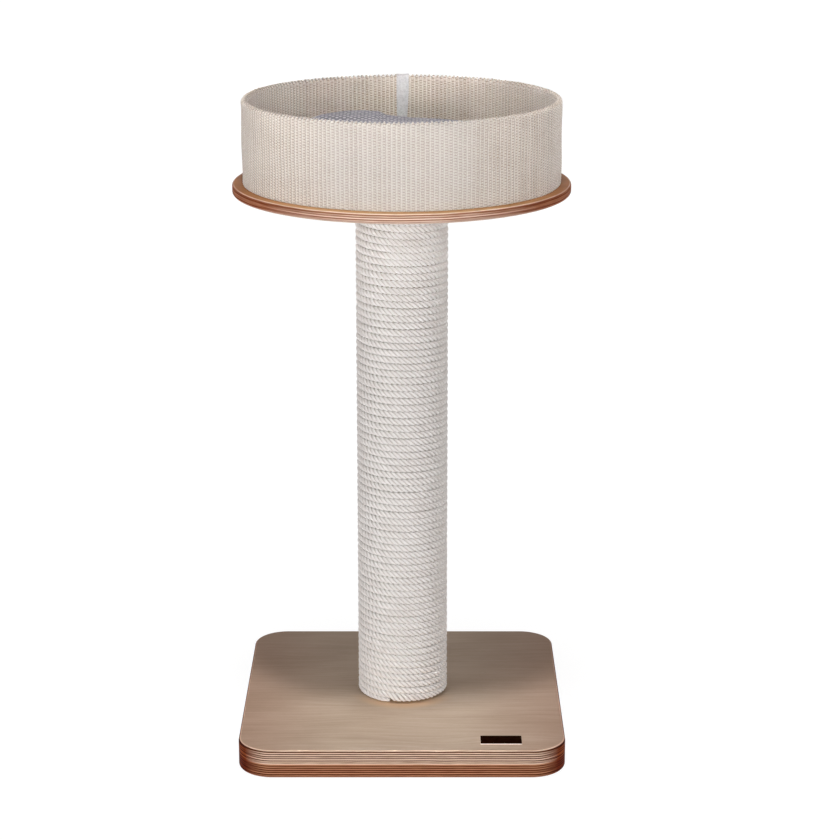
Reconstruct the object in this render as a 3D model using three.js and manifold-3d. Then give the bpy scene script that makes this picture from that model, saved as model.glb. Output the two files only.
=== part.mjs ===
// Cat scratching post: a square plywood base, a cardboard tube wound with sisal rope,
// and a round plywood platform that carries a low fabric-covered hoop with a loose cushion in it.
// Millimetres, +Z up, origin on the floor under the middle of the base, front towards -Y.

import * as THREE from "three";
import { mergeVertices } from "three/addons/utils/BufferGeometryUtils.js";
import Module from "manifold-3d";

// ---------------------------------------------------------------- driving dimensions

// Gap left between neighbours that meet on a curve, and under soft pieces.
const CLEARANCE = 0.3;

// Base: two boards of equal thickness, glued face to face, with rounded corners and edges.
const BASE_SIDE = 400;
const BASE_CORNER_RADIUS = 43;
const BOARD_THICKNESS = 18;
const BASE_EDGE_ROUND = 3.5;

// Bare label plate near the front right corner.
const LABEL_LENGTH = 48;
const LABEL_WIDTH = 22;
const LABEL_THICKNESS = 1.5;
const LABEL_CORNER_RADIUS = 1;
const LABEL_FROM_SIDE_EDGE = 55;
const LABEL_FROM_FRONT_EDGE = 19;

// Post: cardboard tube with a wooden plug in each end.
const POST_HEIGHT = 648;
const TUBE_OUTER_RADIUS = 48;
const TUBE_WALL = 8.5;
const PLUG_HEIGHT = 40;

// Sisal rope, wound turn against turn over the whole tube.
const ROPE_DIAMETER = 8.64;
const ROPE_GROOVE_DEPTH = 3;
const ROPE_LOOP_GAP = 0.5;
const ROPE_END_STEP = 0.3;

// Threaded inserts in the plugs, with an M10 bolt and a wide washer to each.
const INSERT_RADIUS = 8;
const INSERT_LENGTH = 22;
const BOLT_RADIUS = 5;
const BOLT_HOLE_CLEARANCE = 0.5;
const BOLT_HEAD_ACROSS_FLATS = 17;
const BOLT_HEAD_HEIGHT = 6.4;
const BOLT_PAST_INSERT = 4;
const WASHER_RADIUS = 14;
const WASHER_THICKNESS = 2.5;
const WASHER_POCKET_CLEARANCE = 2;
const HEAD_RECESS = 1;

// Countersunk wood screws: through the tube into the plugs, and through the basket floor.
const SCREW_SHANK_RADIUS = 2;
const SCREW_HEAD_RADIUS = 4;
const SCREW_HEAD_HEIGHT = 2.4;
const SCREW_RIM_HEIGHT = 0.4;
const SCREW_TIP_LENGTH = 3;
const PLUG_SCREW_BITE = 16;
const PLUG_SCREW_COUNT = 3;
const FLOOR_SCREW_BITE = 7;
const FLOOR_SCREW_COUNT = 6;
const FLOOR_SCREW_FROM_EDGE = 34;

// Platform: one round board on top of the post, standing out past the basket wall.
const DISC_RADIUS = 205;
const DISC_THICKNESS = 12;
const DISC_EDGE_ROUND = 3;
const LEDGE_WIDTH = 12.5;

// Basket: floor board, stiff hoop nailed round it, and ribbed sisal cloth folded over the hoop.
const FLOOR_THICKNESS = 9;
const BASKET_HEIGHT = 102;
const CLOTH_THICKNESS = 2;
const HOOP_THICKNESS = 3;
const NAIL_RADIUS = 1;
const NAIL_HEAD_RADIUS = 2.2;
const NAIL_HEAD_HEIGHT = 0.8;
const NAIL_BITE = 14;
const NAIL_COUNT = 6;

// Seam strip over the butted ends of the cloth, at the back.
const STRIP_WIDTH = 16;
const STRIP_THICKNESS = 1.2;

// Loose cushion: a round pillow with a sewn edge, plumper towards the back left.
const CUSHION_ROOM = 7;
const CUSHION_SIDE_HEIGHT = 32;
const CUSHION_CROWN = 18;
const CUSHION_SEAM_PINCH = 3;
const CUSHION_HUMPS = [
  { x: -64, y: 100, spread: 34, rise: 12 },
  { x: -2, y: 108, spread: 30, rise: 6 },
];

// Mesh fineness: how many flats stand for a full circle.
const RING_SEGMENTS = 60;
const TUBE_SEGMENTS = 36;
const BOLT_SEGMENTS = 16;
const SMALL_SEGMENTS = 8;
const CORNER_SEGMENTS = 7;
const EDGE_SEGMENTS = 3;
const FOLD_SEGMENTS = 4;
const ROPE_STEPS_PER_LOOP = 16;
const ROPE_TURNS_PER_LOOP = 4;
const CUSHION_SPOKES = 36;

// ---------------------------------------------------------------- worked-out sizes

const BASE_TOP = 2 * BOARD_THICKNESS;
const DISC_BOTTOM = BASE_TOP + POST_HEIGHT;
const DISC_TOP = DISC_BOTTOM + DISC_THICKNESS;
const FLOOR_TOP = DISC_TOP + FLOOR_THICKNESS;
const RIM_TOP = DISC_TOP + BASKET_HEIGHT;

const TUBE_BORE_RADIUS = TUBE_OUTER_RADIUS - TUBE_WALL;
const PLUG_RADIUS = TUBE_BORE_RADIUS - CLEARANCE;
const ROPE_PEAK_RADIUS = TUBE_OUTER_RADIUS + CLEARANCE + ROPE_DIAMETER;
const BOLT_HOLE_RADIUS = BOLT_RADIUS + BOLT_HOLE_CLEARANCE;
const POCKET_RADIUS = WASHER_RADIUS + WASHER_POCKET_CLEARANCE;
const POCKET_DEPTH = WASHER_THICKNESS + BOLT_HEAD_HEIGHT + HEAD_RECESS;

const CLOTH_OUTER_RADIUS = DISC_RADIUS - LEDGE_WIDTH;
const HOOP_OUTER_RADIUS = CLOTH_OUTER_RADIUS - CLOTH_THICKNESS - CLEARANCE;
const HOOP_INNER_RADIUS = HOOP_OUTER_RADIUS - HOOP_THICKNESS;
const CLOTH_INNER_RADIUS = HOOP_INNER_RADIUS - CLEARANCE - CLOTH_THICKNESS;
const HOOP_TOP = RIM_TOP - CLOTH_THICKNESS - CLEARANCE;
const FLOOR_RADIUS = HOOP_INNER_RADIUS - CLEARANCE;
const CUSHION_RADIUS = CLOTH_INNER_RADIUS - CUSHION_ROOM;

const FULL_TURN = 2 * Math.PI;

// How far a cutting shape runs past the face that it opens.
const OVERCUT = 1;

// ---------------------------------------------------------------- materials

function finish(color, roughness, metalness = 0) {
  return new THREE.MeshStandardMaterial({ color, roughness, metalness });
}

const birchPly = finish(0xc7b19f, 0.55);
const platformPly = finish(0xcfb39e, 0.55);
const beechWood = finish(0xc59f74, 0.6);
const greyBoard = finish(0x9a8468, 0.9);
const sisalRope = finish(0xd7cfc8, 0.9);
const sisalCloth = finish(0xd8d1cb, 0.9);
const seamTape = finish(0xc4bebc, 0.85);
const plush = finish(0x9b979b, 0.95);
const darkPlate = finish(0x241610, 0.5);
const zincSteel = finish(0xb4b6b8, 0.35, 1);

// ---------------------------------------------------------------- solids and cuts

const wasm = await Module();
wasm.setup();

// A closed geometry as a solid that can be cut and joined.
function asSolid(geometry) {
  const bare = geometry.clone();
  bare.deleteAttribute("normal");
  bare.deleteAttribute("uv");
  const merged = mergeVertices(bare);
  return new wasm.Manifold(
    new wasm.Mesh({
      numProp: 3,
      vertProperties: merged.attributes.position.array,
      triVerts: new Uint32Array(merged.index.array),
    }),
  );
}

// A solid back to a geometry with flat-shaded faces.
function asGeometry(solid) {
  const mesh = solid.getMesh();
  const indexed = new THREE.BufferGeometry();
  indexed.setAttribute("position", new THREE.BufferAttribute(mesh.vertProperties, 3));
  indexed.setIndex(new THREE.BufferAttribute(mesh.triVerts, 1));
  const geometry = indexed.toNonIndexed();
  geometry.computeVertexNormals();
  return geometry;
}

// A round geometry about +Z from [radius, height] pairs that start and end on the axis,
// or close on themselves.
function turned(profile, segments) {
  const points = profile.map(([radius, height]) => new THREE.Vector2(radius, height));
  if (THREE.ShapeUtils.isClockWise(points)) points.reverse();
  const onAxis = points[0].x === 0 && points.at(-1).x === 0;
  if (!onAxis) points.push(points[0].clone());
  const geometry = new THREE.LatheGeometry(points, segments);
  return geometry.rotateX(Math.PI / 2);
}

// A ring or a drilled disc: a rectangle turned about +Z, clear of the axis.
function ring(innerRadius, outerRadius, low, high, segments) {
  const profile = [
    [innerRadius, low],
    [outerRadius, low],
    [outerRadius, high],
    [innerRadius, high],
  ];
  return turned(profile, segments);
}

// A plain round bar from one height to another.
function bar(radius, low, high, segments) {
  const profile = [
    [0, low],
    [radius, low],
    [radius, high],
    [0, high],
  ];
  return turned(profile, segments);
}

// A shape built along +Z, laid so that +Z points out along a spoke at this angle and height.
function layOnSpoke(geometry, angle, height) {
  return geometry
    .rotateY(Math.PI / 2)
    .rotateZ(angle)
    .translate(0, 0, height);
}

// The angle of one of several places spaced evenly round a circle.
function spokeAngle(index, count, offset = 0) {
  return (FULL_TURN * (index + offset)) / count;
}

// How far out the flats of a faceted circle lie from its axis.
function flatsRadius(radius, segments) {
  return radius * Math.cos(Math.PI / segments);
}

// A rectangle with round corners, centred on a point.
function roundedRectangle(width, depth, corner, centreX = 0, centreY = 0) {
  const right = centreX + width / 2 - corner;
  const left = centreX - width / 2 + corner;
  const back = centreY + depth / 2 - corner;
  const front = centreY - depth / 2 + corner;
  const shape = new THREE.Shape();
  shape.absarc(right, front, corner, -Math.PI / 2, 0);
  shape.absarc(right, back, corner, 0, Math.PI / 2);
  shape.absarc(left, back, corner, Math.PI / 2, Math.PI);
  shape.absarc(left, front, corner, Math.PI, 1.5 * Math.PI);
  shape.closePath();
  return shape;
}

// ---------------------------------------------------------------- fasteners

// Hex bolt pointing up, its head's underside at z = 0.
function bolt(shankLength) {
  const cornerRadius = BOLT_HEAD_ACROSS_FLATS / 2 / Math.cos(Math.PI / 6);
  const overlap = BOLT_HEAD_HEIGHT / 2;
  const head = asSolid(bar(cornerRadius, -BOLT_HEAD_HEIGHT, 0, 6));
  const shank = asSolid(bar(BOLT_RADIUS, -overlap, shankLength, BOLT_SEGMENTS));
  return asGeometry(head.add(shank));
}

// Flat washer standing on z = 0.
function washer() {
  return ring(BOLT_HOLE_RADIUS, WASHER_RADIUS, 0, WASHER_THICKNESS, BOLT_SEGMENTS);
}

// Countersunk screw pointing down, its head's top at z = 0. As a hole for such a screw it
// is larger all over by the clearance, and its mouth reaches up past the head.
function countersunk(length, clearance = 0, mouth = 0) {
  const shank = SCREW_SHANK_RADIUS + clearance;
  const head = SCREW_HEAD_RADIUS + clearance;
  const profile = [
    [0, -length - clearance],
    [shank, -length + SCREW_TIP_LENGTH - clearance],
    [shank, -SCREW_HEAD_HEIGHT - clearance],
    [head, -SCREW_RIM_HEIGHT - clearance],
    [head, mouth],
    [0, mouth],
  ];
  return turned(profile, SMALL_SEGMENTS);
}

// Flat-headed nail pointing down, its head's top at z = 0, or the hole for it.
function flatHeaded(length, clearance = 0, mouth = 0) {
  const shank = NAIL_RADIUS + clearance;
  const head = NAIL_HEAD_RADIUS + clearance;
  const profile = [
    [0, -length - clearance],
    [shank, -length - clearance],
    [shank, -NAIL_HEAD_HEIGHT - clearance],
    [head, -NAIL_HEAD_HEIGHT - clearance],
    [head, mouth],
    [0, mouth],
  ];
  return turned(profile, SMALL_SEGMENTS);
}

// ---------------------------------------------------------------- base

// The whole base block, rounded at its top and bottom edges.
function baseBlock() {
  const outline = roundedRectangle(BASE_SIDE, BASE_SIDE, BASE_CORNER_RADIUS);
  const geometry = new THREE.ExtrudeGeometry(outline, {
    depth: BASE_TOP - 2 * BASE_EDGE_ROUND,
    bevelThickness: BASE_EDGE_ROUND,
    bevelSize: BASE_EDGE_ROUND,
    bevelOffset: -BASE_EDGE_ROUND,
    bevelSegments: EDGE_SEGMENTS,
    curveSegments: CORNER_SEGMENTS,
  });
  return asSolid(geometry.translate(0, 0, BASE_EDGE_ROUND));
}

// One board of the base: what lies between two heights, with the bolt hole through it.
function baseBoard(low, high) {
  const slice = new THREE.BoxGeometry(2 * BASE_SIDE, 2 * BASE_SIDE, high - low);
  slice.translate(0, 0, (low + high) / 2);
  const hole = bar(BOLT_HOLE_RADIUS, low - OVERCUT, high + OVERCUT, BOLT_SEGMENTS);
  return baseBlock().intersect(asSolid(slice)).subtract(asSolid(hole));
}

function lowerBoard() {
  const pocket = bar(POCKET_RADIUS, -OVERCUT, POCKET_DEPTH, BOLT_SEGMENTS);
  return asGeometry(baseBoard(0, BOARD_THICKNESS).subtract(asSolid(pocket)));
}

function upperBoard() {
  return asGeometry(baseBoard(BOARD_THICKNESS, BASE_TOP));
}

function labelPlate() {
  const centreX = BASE_SIDE / 2 - LABEL_FROM_SIDE_EDGE - LABEL_LENGTH / 2;
  const centreY = -BASE_SIDE / 2 + LABEL_FROM_FRONT_EDGE + LABEL_WIDTH / 2;
  const outline = roundedRectangle(
    LABEL_LENGTH,
    LABEL_WIDTH,
    LABEL_CORNER_RADIUS,
    centreX,
    centreY,
  );
  const geometry = new THREE.ExtrudeGeometry(outline, {
    depth: LABEL_THICKNESS,
    bevelEnabled: false,
    curveSegments: EDGE_SEGMENTS,
  });
  return geometry.translate(0, 0, BASE_TOP);
}

// ---------------------------------------------------------------- post

const PLUG_SCREW_LENGTH = TUBE_WALL + PLUG_SCREW_BITE;
const PLUG_SCREW_HEAD_AT = flatsRadius(TUBE_OUTER_RADIUS, TUBE_SEGMENTS) - CLEARANCE;
const PLUG_MIDDLES = [BASE_TOP + PLUG_HEIGHT / 2, DISC_BOTTOM - PLUG_HEIGHT / 2];

// A piece of the post with the plug screws' holes drilled through it.
function drilledForPlugScrews(geometry) {
  let solid = asSolid(geometry);
  for (const height of PLUG_MIDDLES) {
    for (let i = 0; i < PLUG_SCREW_COUNT; i += 1) {
      const hole = countersunk(PLUG_SCREW_LENGTH, CLEARANCE, TUBE_WALL);
      hole.translate(0, 0, PLUG_SCREW_HEAD_AT);
      layOnSpoke(hole, spokeAngle(i, PLUG_SCREW_COUNT), height);
      solid = solid.subtract(asSolid(hole));
    }
  }
  return asGeometry(solid);
}

function postTube() {
  return drilledForPlugScrews(
    ring(TUBE_BORE_RADIUS, TUBE_OUTER_RADIUS, BASE_TOP, DISC_BOTTOM, TUBE_SEGMENTS),
  );
}

// End plug: a wooden disc with a stepped hole, wide for the insert and narrow for the bolt.
function plug(outerFace, innerFace) {
  const inwards = Math.sign(innerFace - outerFace);
  const step = outerFace + inwards * (INSERT_LENGTH + CLEARANCE);
  const insertHole = INSERT_RADIUS + CLEARANCE;
  const profile = [
    [insertHole, outerFace],
    [PLUG_RADIUS, outerFace],
    [PLUG_RADIUS, innerFace],
    [BOLT_HOLE_RADIUS, innerFace],
    [BOLT_HOLE_RADIUS, step],
    [insertHole, step],
  ];
  return drilledForPlugScrews(turned(profile, TUBE_SEGMENTS));
}

function insert(low, high) {
  return ring(BOLT_RADIUS + CLEARANCE, INSERT_RADIUS, low, high, BOLT_SEGMENTS);
}

function plugScrew(index, height) {
  const geometry = countersunk(PLUG_SCREW_LENGTH).translate(0, 0, PLUG_SCREW_HEAD_AT);
  return layOnSpoke(geometry, spokeAngle(index, PLUG_SCREW_COUNT), height);
}

// The winding: one unbroken ribbed band, whose ribs are the rope's turns side by side.
// It climbs by its own width in each loop, clockwise from above, and is cut level at the
// foot and at the head.
const LOOP_RISE = ROPE_TURNS_PER_LOOP * ROPE_DIAMETER;
const ROPE_FOOT = BASE_TOP + CLEARANCE;
const ROPE_HEAD = DISC_BOTTOM - CLEARANCE;
const ROPE_CORE_RADIUS =
  (TUBE_OUTER_RADIUS + CLEARANCE) / Math.cos(Math.PI / ROPE_STEPS_PER_LOOP);

// Radius of the ribbed surface at a height above the band's lower edge.
function ribRadius(height) {
  const acrossTurn = (height / ROPE_DIAMETER) % 1;
  const fromCrest = Math.abs(2 * acrossTurn - 1);
  return ROPE_PEAK_RADIUS - ROPE_GROOVE_DEPTH * fromCrest;
}

// Section of the band where its lower edge is at this height: the inner foot, the grooves
// and crests, and the inner head. Points past the foot or the head are stacked on it.
function ropeSection(lowerEdge) {
  const last = 2 * ROPE_TURNS_PER_LOOP;
  const lowest = lowerEdge + ROPE_LOOP_GAP / 2;
  const highest = lowerEdge + LOOP_RISE - ROPE_LOOP_GAP / 2;
  const outer = [];
  for (let i = 0; i <= last; i += 1) {
    const inBand = THREE.MathUtils.clamp(lowerEdge + (i * ROPE_DIAMETER) / 2, lowest, highest);
    const overFoot = Math.max(inBand, ROPE_FOOT + i * ROPE_END_STEP);
    const z = Math.min(overFoot, ROPE_HEAD - (last - i) * ROPE_END_STEP);
    outer.push({ radius: ribRadius(z - lowerEdge), z });
  }
  const innerFoot = { radius: ROPE_CORE_RADIUS, z: outer[0].z };
  const innerHead = { radius: ROPE_CORE_RADIUS, z: outer[last].z };
  return [innerFoot, ...outer, innerHead];
}

// Every section of the winding as points, one row for each step round the post.
function ropeRows() {
  const thinnest = 2 * ROPE_TURNS_PER_LOOP * ROPE_END_STEP + ROPE_LOOP_GAP;
  const travel = ROPE_HEAD - ROPE_FOOT + LOOP_RISE - 2 * thinnest;
  const stepRise = LOOP_RISE / ROPE_STEPS_PER_LOOP;
  const steps = Math.floor(travel / stepRise);
  const start = ROPE_FOOT - LOOP_RISE + thinnest;
  const rows = [];
  for (let step = 0; step <= steps; step += 1) {
    const angle = -Math.PI / 2 - spokeAngle(step, ROPE_STEPS_PER_LOOP);
    const section = ropeSection(start + step * stepRise);
    rows.push(
      section.map(
        ({ radius, z }) =>
          new THREE.Vector3(radius * Math.cos(angle), radius * Math.sin(angle), z),
      ),
    );
  }
  return rows;
}

// A closed skin over rows of points, each row once round the section.
function skinOver(rows) {
  const around = rows[0].length;
  const positions = rows.flat().flatMap((point) => [point.x, point.y, point.z]);
  const faces = [];
  for (let row = 0; row + 1 < rows.length; row += 1) {
    const here = row * around;
    const ahead = here + around;
    for (let i = 0; i < around; i += 1) {
      const next = (i + 1) % around;
      faces.push(here + i, ahead + next, ahead + i);
      faces.push(here + i, here + next, ahead + next);
    }
  }
  faces.push(...endCap(rows[0], 0, false));
  faces.push(...endCap(rows.at(-1), (rows.length - 1) * around, true));
  const geometry = new THREE.BufferGeometry();
  geometry.setAttribute("position", new THREE.Float32BufferAttribute(positions, 3));
  geometry.setIndex(faces);
  geometry.computeVertexNormals();
  return geometry;
}

// The triangles that close one end of the skin, over a row that starts at this index.
function endCap(row, first, isFarEnd) {
  const section = row.map((point) => new THREE.Vector2(Math.hypot(point.x, point.y), point.z));
  const triangles = THREE.ShapeUtils.triangulateShape(section, []);
  return triangles.flatMap(([a, b, c]) =>
    isFarEnd ? [first + a, first + b, first + c] : [first + a, first + c, first + b],
  );
}

// The least distance from any point of a loop to any point of the loop after it.
function leastLoopGap(rows) {
  let least = Infinity;
  for (let row = 0; row + ROPE_STEPS_PER_LOOP < rows.length; row += 1) {
    for (const point of rows[row]) {
      for (let near = -1; near <= 1; near += 1) {
        const other = rows[row + ROPE_STEPS_PER_LOOP + near] ?? [];
        for (const above of other) least = Math.min(least, point.distanceTo(above));
      }
    }
  }
  return least;
}

function ropeWinding() {
  const rows = ropeRows();
  const gap = leastLoopGap(rows).toFixed(2);
  console.log(`sisal_rope: least gap to itself ${gap} mm over ${rows.length} sections`);
  return skinOver(rows);
}

// ---------------------------------------------------------------- platform

function platformDisc() {
  const profile = [[0, DISC_BOTTOM]];
  const centre = DISC_RADIUS - DISC_EDGE_ROUND;
  for (const [height, start] of [
    [DISC_BOTTOM + DISC_EDGE_ROUND, -Math.PI / 2],
    [DISC_TOP - DISC_EDGE_ROUND, 0],
  ]) {
    for (let i = 0; i <= EDGE_SEGMENTS; i += 1) {
      const angle = start + (Math.PI / 2) * (i / EDGE_SEGMENTS);
      const out = DISC_EDGE_ROUND * Math.cos(angle);
      profile.push([centre + out, height + DISC_EDGE_ROUND * Math.sin(angle)]);
    }
  }
  profile.push([0, DISC_TOP]);
  const board = asSolid(turned(profile, RING_SEGMENTS));
  const hole = bar(BOLT_HOLE_RADIUS, DISC_BOTTOM - OVERCUT, DISC_TOP + OVERCUT, BOLT_SEGMENTS);
  return asGeometry(drilledForFloorScrews(board.subtract(asSolid(hole))));
}

// ---------------------------------------------------------------- basket

const FLOOR_SCREW_LENGTH = FLOOR_THICKNESS + FLOOR_SCREW_BITE;
const FLOOR_SCREW_CIRCLE = FLOOR_RADIUS - FLOOR_SCREW_FROM_EDGE;
const NAIL_LENGTH = HOOP_THICKNESS + NAIL_BITE;
const NAIL_HEAD_AT = flatsRadius(HOOP_OUTER_RADIUS, RING_SEGMENTS);
const NAIL_HEIGHT = DISC_TOP + FLOOR_THICKNESS / 2;

// A floor screw's shape stood at its place on the screw circle, its head flush with the floor.
function atFloorScrew(geometry, index) {
  const angle = spokeAngle(index, FLOOR_SCREW_COUNT);
  const x = FLOOR_SCREW_CIRCLE * Math.cos(angle);
  const y = FLOOR_SCREW_CIRCLE * Math.sin(angle);
  return geometry.translate(x, y, FLOOR_TOP);
}

function drilledForFloorScrews(solid) {
  let drilled = solid;
  for (let i = 0; i < FLOOR_SCREW_COUNT; i += 1) {
    const hole = atFloorScrew(countersunk(FLOOR_SCREW_LENGTH, CLEARANCE, OVERCUT), i);
    drilled = drilled.subtract(asSolid(hole));
  }
  return drilled;
}

// A hoop nail's shape laid on its spoke, between two floor screws.
function atNail(geometry, index) {
  geometry.translate(0, 0, NAIL_HEAD_AT);
  return layOnSpoke(geometry, spokeAngle(index, NAIL_COUNT, 0.5), NAIL_HEIGHT);
}

function drilledForNails(solid) {
  let drilled = solid;
  for (let i = 0; i < NAIL_COUNT; i += 1) {
    const hole = atNail(flatHeaded(NAIL_LENGTH, CLEARANCE, OVERCUT), i);
    drilled = drilled.subtract(asSolid(hole));
  }
  return drilled;
}

function basketFloor() {
  const board = asSolid(ring(POCKET_RADIUS, FLOOR_RADIUS, DISC_TOP, FLOOR_TOP, RING_SEGMENTS));
  return asGeometry(drilledForNails(drilledForFloorScrews(board)));
}

function hoop() {
  const wall = ring(HOOP_INNER_RADIUS, HOOP_OUTER_RADIUS, DISC_TOP, HOOP_TOP, RING_SEGMENTS);
  return asGeometry(drilledForNails(asSolid(wall)));
}

// A sheet folded over the hoop: its outer face stands off the cloth's face by an offset.
const FOLD_CENTRE_RADIUS = (CLOTH_OUTER_RADIUS + CLOTH_INNER_RADIUS) / 2;
const FOLD_RADIUS = (CLOTH_OUTER_RADIUS - CLOTH_INNER_RADIUS) / 2;
const FOLD_CENTRE_HEIGHT = RIM_TOP - FOLD_RADIUS;

function foldArc(offset) {
  const radius = FOLD_RADIUS + offset;
  const points = [];
  for (let i = 0; i <= FOLD_SEGMENTS; i += 1) {
    const angle = (Math.PI * i) / FOLD_SEGMENTS;
    const out = FOLD_CENTRE_RADIUS + radius * Math.cos(angle);
    points.push([out, FOLD_CENTRE_HEIGHT + radius * Math.sin(angle)]);
  }
  return points;
}

function sisalClothFold() {
  const outerCavity = HOOP_OUTER_RADIUS + CLEARANCE;
  const innerCavity = HOOP_INNER_RADIUS - CLEARANCE;
  const cavityTop = HOOP_TOP + CLEARANCE;
  const profile = [
    [CLOTH_OUTER_RADIUS, DISC_TOP + CLEARANCE],
    ...foldArc(0),
    [CLOTH_INNER_RADIUS, FLOOR_TOP + CLEARANCE],
    [innerCavity, FLOOR_TOP + CLEARANCE],
    [innerCavity, cavityTop],
    [outerCavity, cavityTop],
    [outerCavity, DISC_TOP + CLEARANCE],
  ];
  return turned(profile, RING_SEGMENTS);
}

// The tape follows the cloth down both sides of the wall, as wide as a slice at the back.
function seamStrip() {
  const near = CLEARANCE;
  const far = CLEARANCE + STRIP_THICKNESS;
  const profile = [
    [CLOTH_OUTER_RADIUS + far, DISC_TOP + CLEARANCE],
    ...foldArc(far),
    [CLOTH_INNER_RADIUS - far, FLOOR_TOP + CLEARANCE],
    [CLOTH_INNER_RADIUS - near, FLOOR_TOP + CLEARANCE],
    ...foldArc(near).reverse(),
    [CLOTH_OUTER_RADIUS + near, DISC_TOP + CLEARANCE],
  ];
  const slice = new THREE.BoxGeometry(STRIP_WIDTH, DISC_RADIUS, 2 * BASKET_HEIGHT + DISC_TOP);
  slice.translate(0, DISC_RADIUS, DISC_TOP);
  return asGeometry(asSolid(turned(profile, RING_SEGMENTS)).intersect(asSolid(slice)));
}

// ---------------------------------------------------------------- cushion

// Height of the cushion's top above its underside, at a place on the cushion.
function cushionHeight(x, y) {
  const out = Math.min(1, Math.hypot(x, y) / CUSHION_RADIUS);
  let height = CUSHION_SIDE_HEIGHT + CUSHION_CROWN * (1 - out * out);
  const fade = 1 - out ** 4;
  for (const hump of CUSHION_HUMPS) {
    const away = ((x - hump.x) ** 2 + (y - hump.y) ** 2) / (2 * hump.spread ** 2);
    height += hump.rise * fade * Math.exp(-away);
  }
  return height;
}

// Rings of the cushion's skin from under its middle, up its side and in to its top.
// Each is a share of the radius, an inward pull, and a share of the height at that place.
const CUSHION_RINGS = [
  { share: 0.5, pull: 0, rise: 0 },
  { share: 0.93, pull: 0, rise: 0 },
  { share: 0.985, pull: 0, rise: 0.1 },
  { share: 1, pull: 0, rise: 0.28 },
  { share: 1, pull: CUSHION_SEAM_PINCH, rise: 0.46 },
  { share: 1, pull: 0, rise: 0.64 },
  { share: 0.985, pull: 0, rise: 0.83 },
  { share: 0.94, pull: 0, rise: 0.96 },
  { share: 0.86, pull: 0, rise: 1 },
  { share: 0.74, pull: 0, rise: 1 },
  { share: 0.6, pull: 0, rise: 1 },
  { share: 0.45, pull: 0, rise: 1 },
  { share: 0.3, pull: 0, rise: 1 },
  { share: 0.15, pull: 0, rise: 1 },
];

function cushion() {
  const underside = FLOOR_TOP + CLEARANCE;
  const positions = [0, 0, underside];
  for (const { share, pull, rise } of CUSHION_RINGS) {
    const radius = CUSHION_RADIUS * share - pull;
    for (let spoke = 0; spoke < CUSHION_SPOKES; spoke += 1) {
      const angle = spokeAngle(spoke, CUSHION_SPOKES);
      const x = radius * Math.cos(angle);
      const y = radius * Math.sin(angle);
      positions.push(x, y, underside + rise * cushionHeight(x, y));
    }
  }
  positions.push(0, 0, underside + cushionHeight(0, 0));

  const faces = [];
  const top = 1 + CUSHION_RINGS.length * CUSHION_SPOKES;
  const lastRing = top - CUSHION_SPOKES;
  for (let spoke = 0; spoke < CUSHION_SPOKES; spoke += 1) {
    const next = (spoke + 1) % CUSHION_SPOKES;
    faces.push(0, 1 + next, 1 + spoke);
    for (let r = 0; r + 1 < CUSHION_RINGS.length; r += 1) {
      const low = 1 + r * CUSHION_SPOKES;
      const high = low + CUSHION_SPOKES;
      faces.push(low + spoke, low + next, high + next);
      faces.push(low + spoke, high + next, high + spoke);
    }
    faces.push(top, lastRing + spoke, lastRing + next);
  }
  const geometry = new THREE.BufferGeometry();
  geometry.setAttribute("position", new THREE.Float32BufferAttribute(positions, 3));
  geometry.setIndex(faces);
  geometry.computeVertexNormals();
  return geometry;
}

// ---------------------------------------------------------------- assembly

// A named group holding one named mesh for each [name, geometry, material].
function assembly(name, pieces) {
  const group = new THREE.Group();
  group.name = name;
  for (const [pieceName, geometry, material] of pieces) {
    const mesh = new THREE.Mesh(geometry, material);
    mesh.name = pieceName;
    group.add(mesh);
  }
  return group;
}

// Numbered copies of a piece, as assembly entries.
function copies(name, count, makeGeometry, material) {
  const pieces = [];
  for (let i = 0; i < count; i += 1) {
    pieces.push([`${name}_${i + 1}`, makeGeometry(i), material]);
  }
  return pieces;
}

// The base bolt's head hangs in the lower board's pocket, below its washer.
const BASE_BOLT_SEAT = POCKET_DEPTH - WASHER_THICKNESS;
const BASE_BOLT_LENGTH = BASE_TOP + INSERT_LENGTH + BOLT_PAST_INSERT - BASE_BOLT_SEAT;

// The platform bolt points down from on top of its washer.
const PLATFORM_BOLT_SEAT = DISC_TOP + WASHER_THICKNESS;
const PLATFORM_BOLT_LENGTH =
  PLATFORM_BOLT_SEAT - (DISC_BOTTOM - INSERT_LENGTH - BOLT_PAST_INSERT);

const base = assembly("base", [
  ["base_lower_board", lowerBoard(), birchPly],
  ["base_upper_board", upperBoard(), birchPly],
  ["label_plate", labelPlate(), darkPlate],
  ["base_bolt", bolt(BASE_BOLT_LENGTH).translate(0, 0, BASE_BOLT_SEAT), zincSteel],
  ["base_washer", washer().translate(0, 0, BASE_BOLT_SEAT), zincSteel],
]);

const post = assembly("post", [
  ["post_tube", postTube(), greyBoard],
  ["bottom_plug", plug(BASE_TOP, BASE_TOP + PLUG_HEIGHT), beechWood],
  ["top_plug", plug(DISC_BOTTOM, DISC_BOTTOM - PLUG_HEIGHT), beechWood],
  ["bottom_insert", insert(BASE_TOP, BASE_TOP + INSERT_LENGTH), zincSteel],
  ["top_insert", insert(DISC_BOTTOM - INSERT_LENGTH, DISC_BOTTOM), zincSteel],
  ["sisal_rope", ropeWinding(), sisalRope],
  ...copies("bottom_plug_screw", PLUG_SCREW_COUNT, (i) => plugScrew(i, PLUG_MIDDLES[0]), zincSteel),
  ...copies("top_plug_screw", PLUG_SCREW_COUNT, (i) => plugScrew(i, PLUG_MIDDLES[1]), zincSteel),
]);

const platformBolt = bolt(PLATFORM_BOLT_LENGTH).rotateX(Math.PI);

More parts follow.
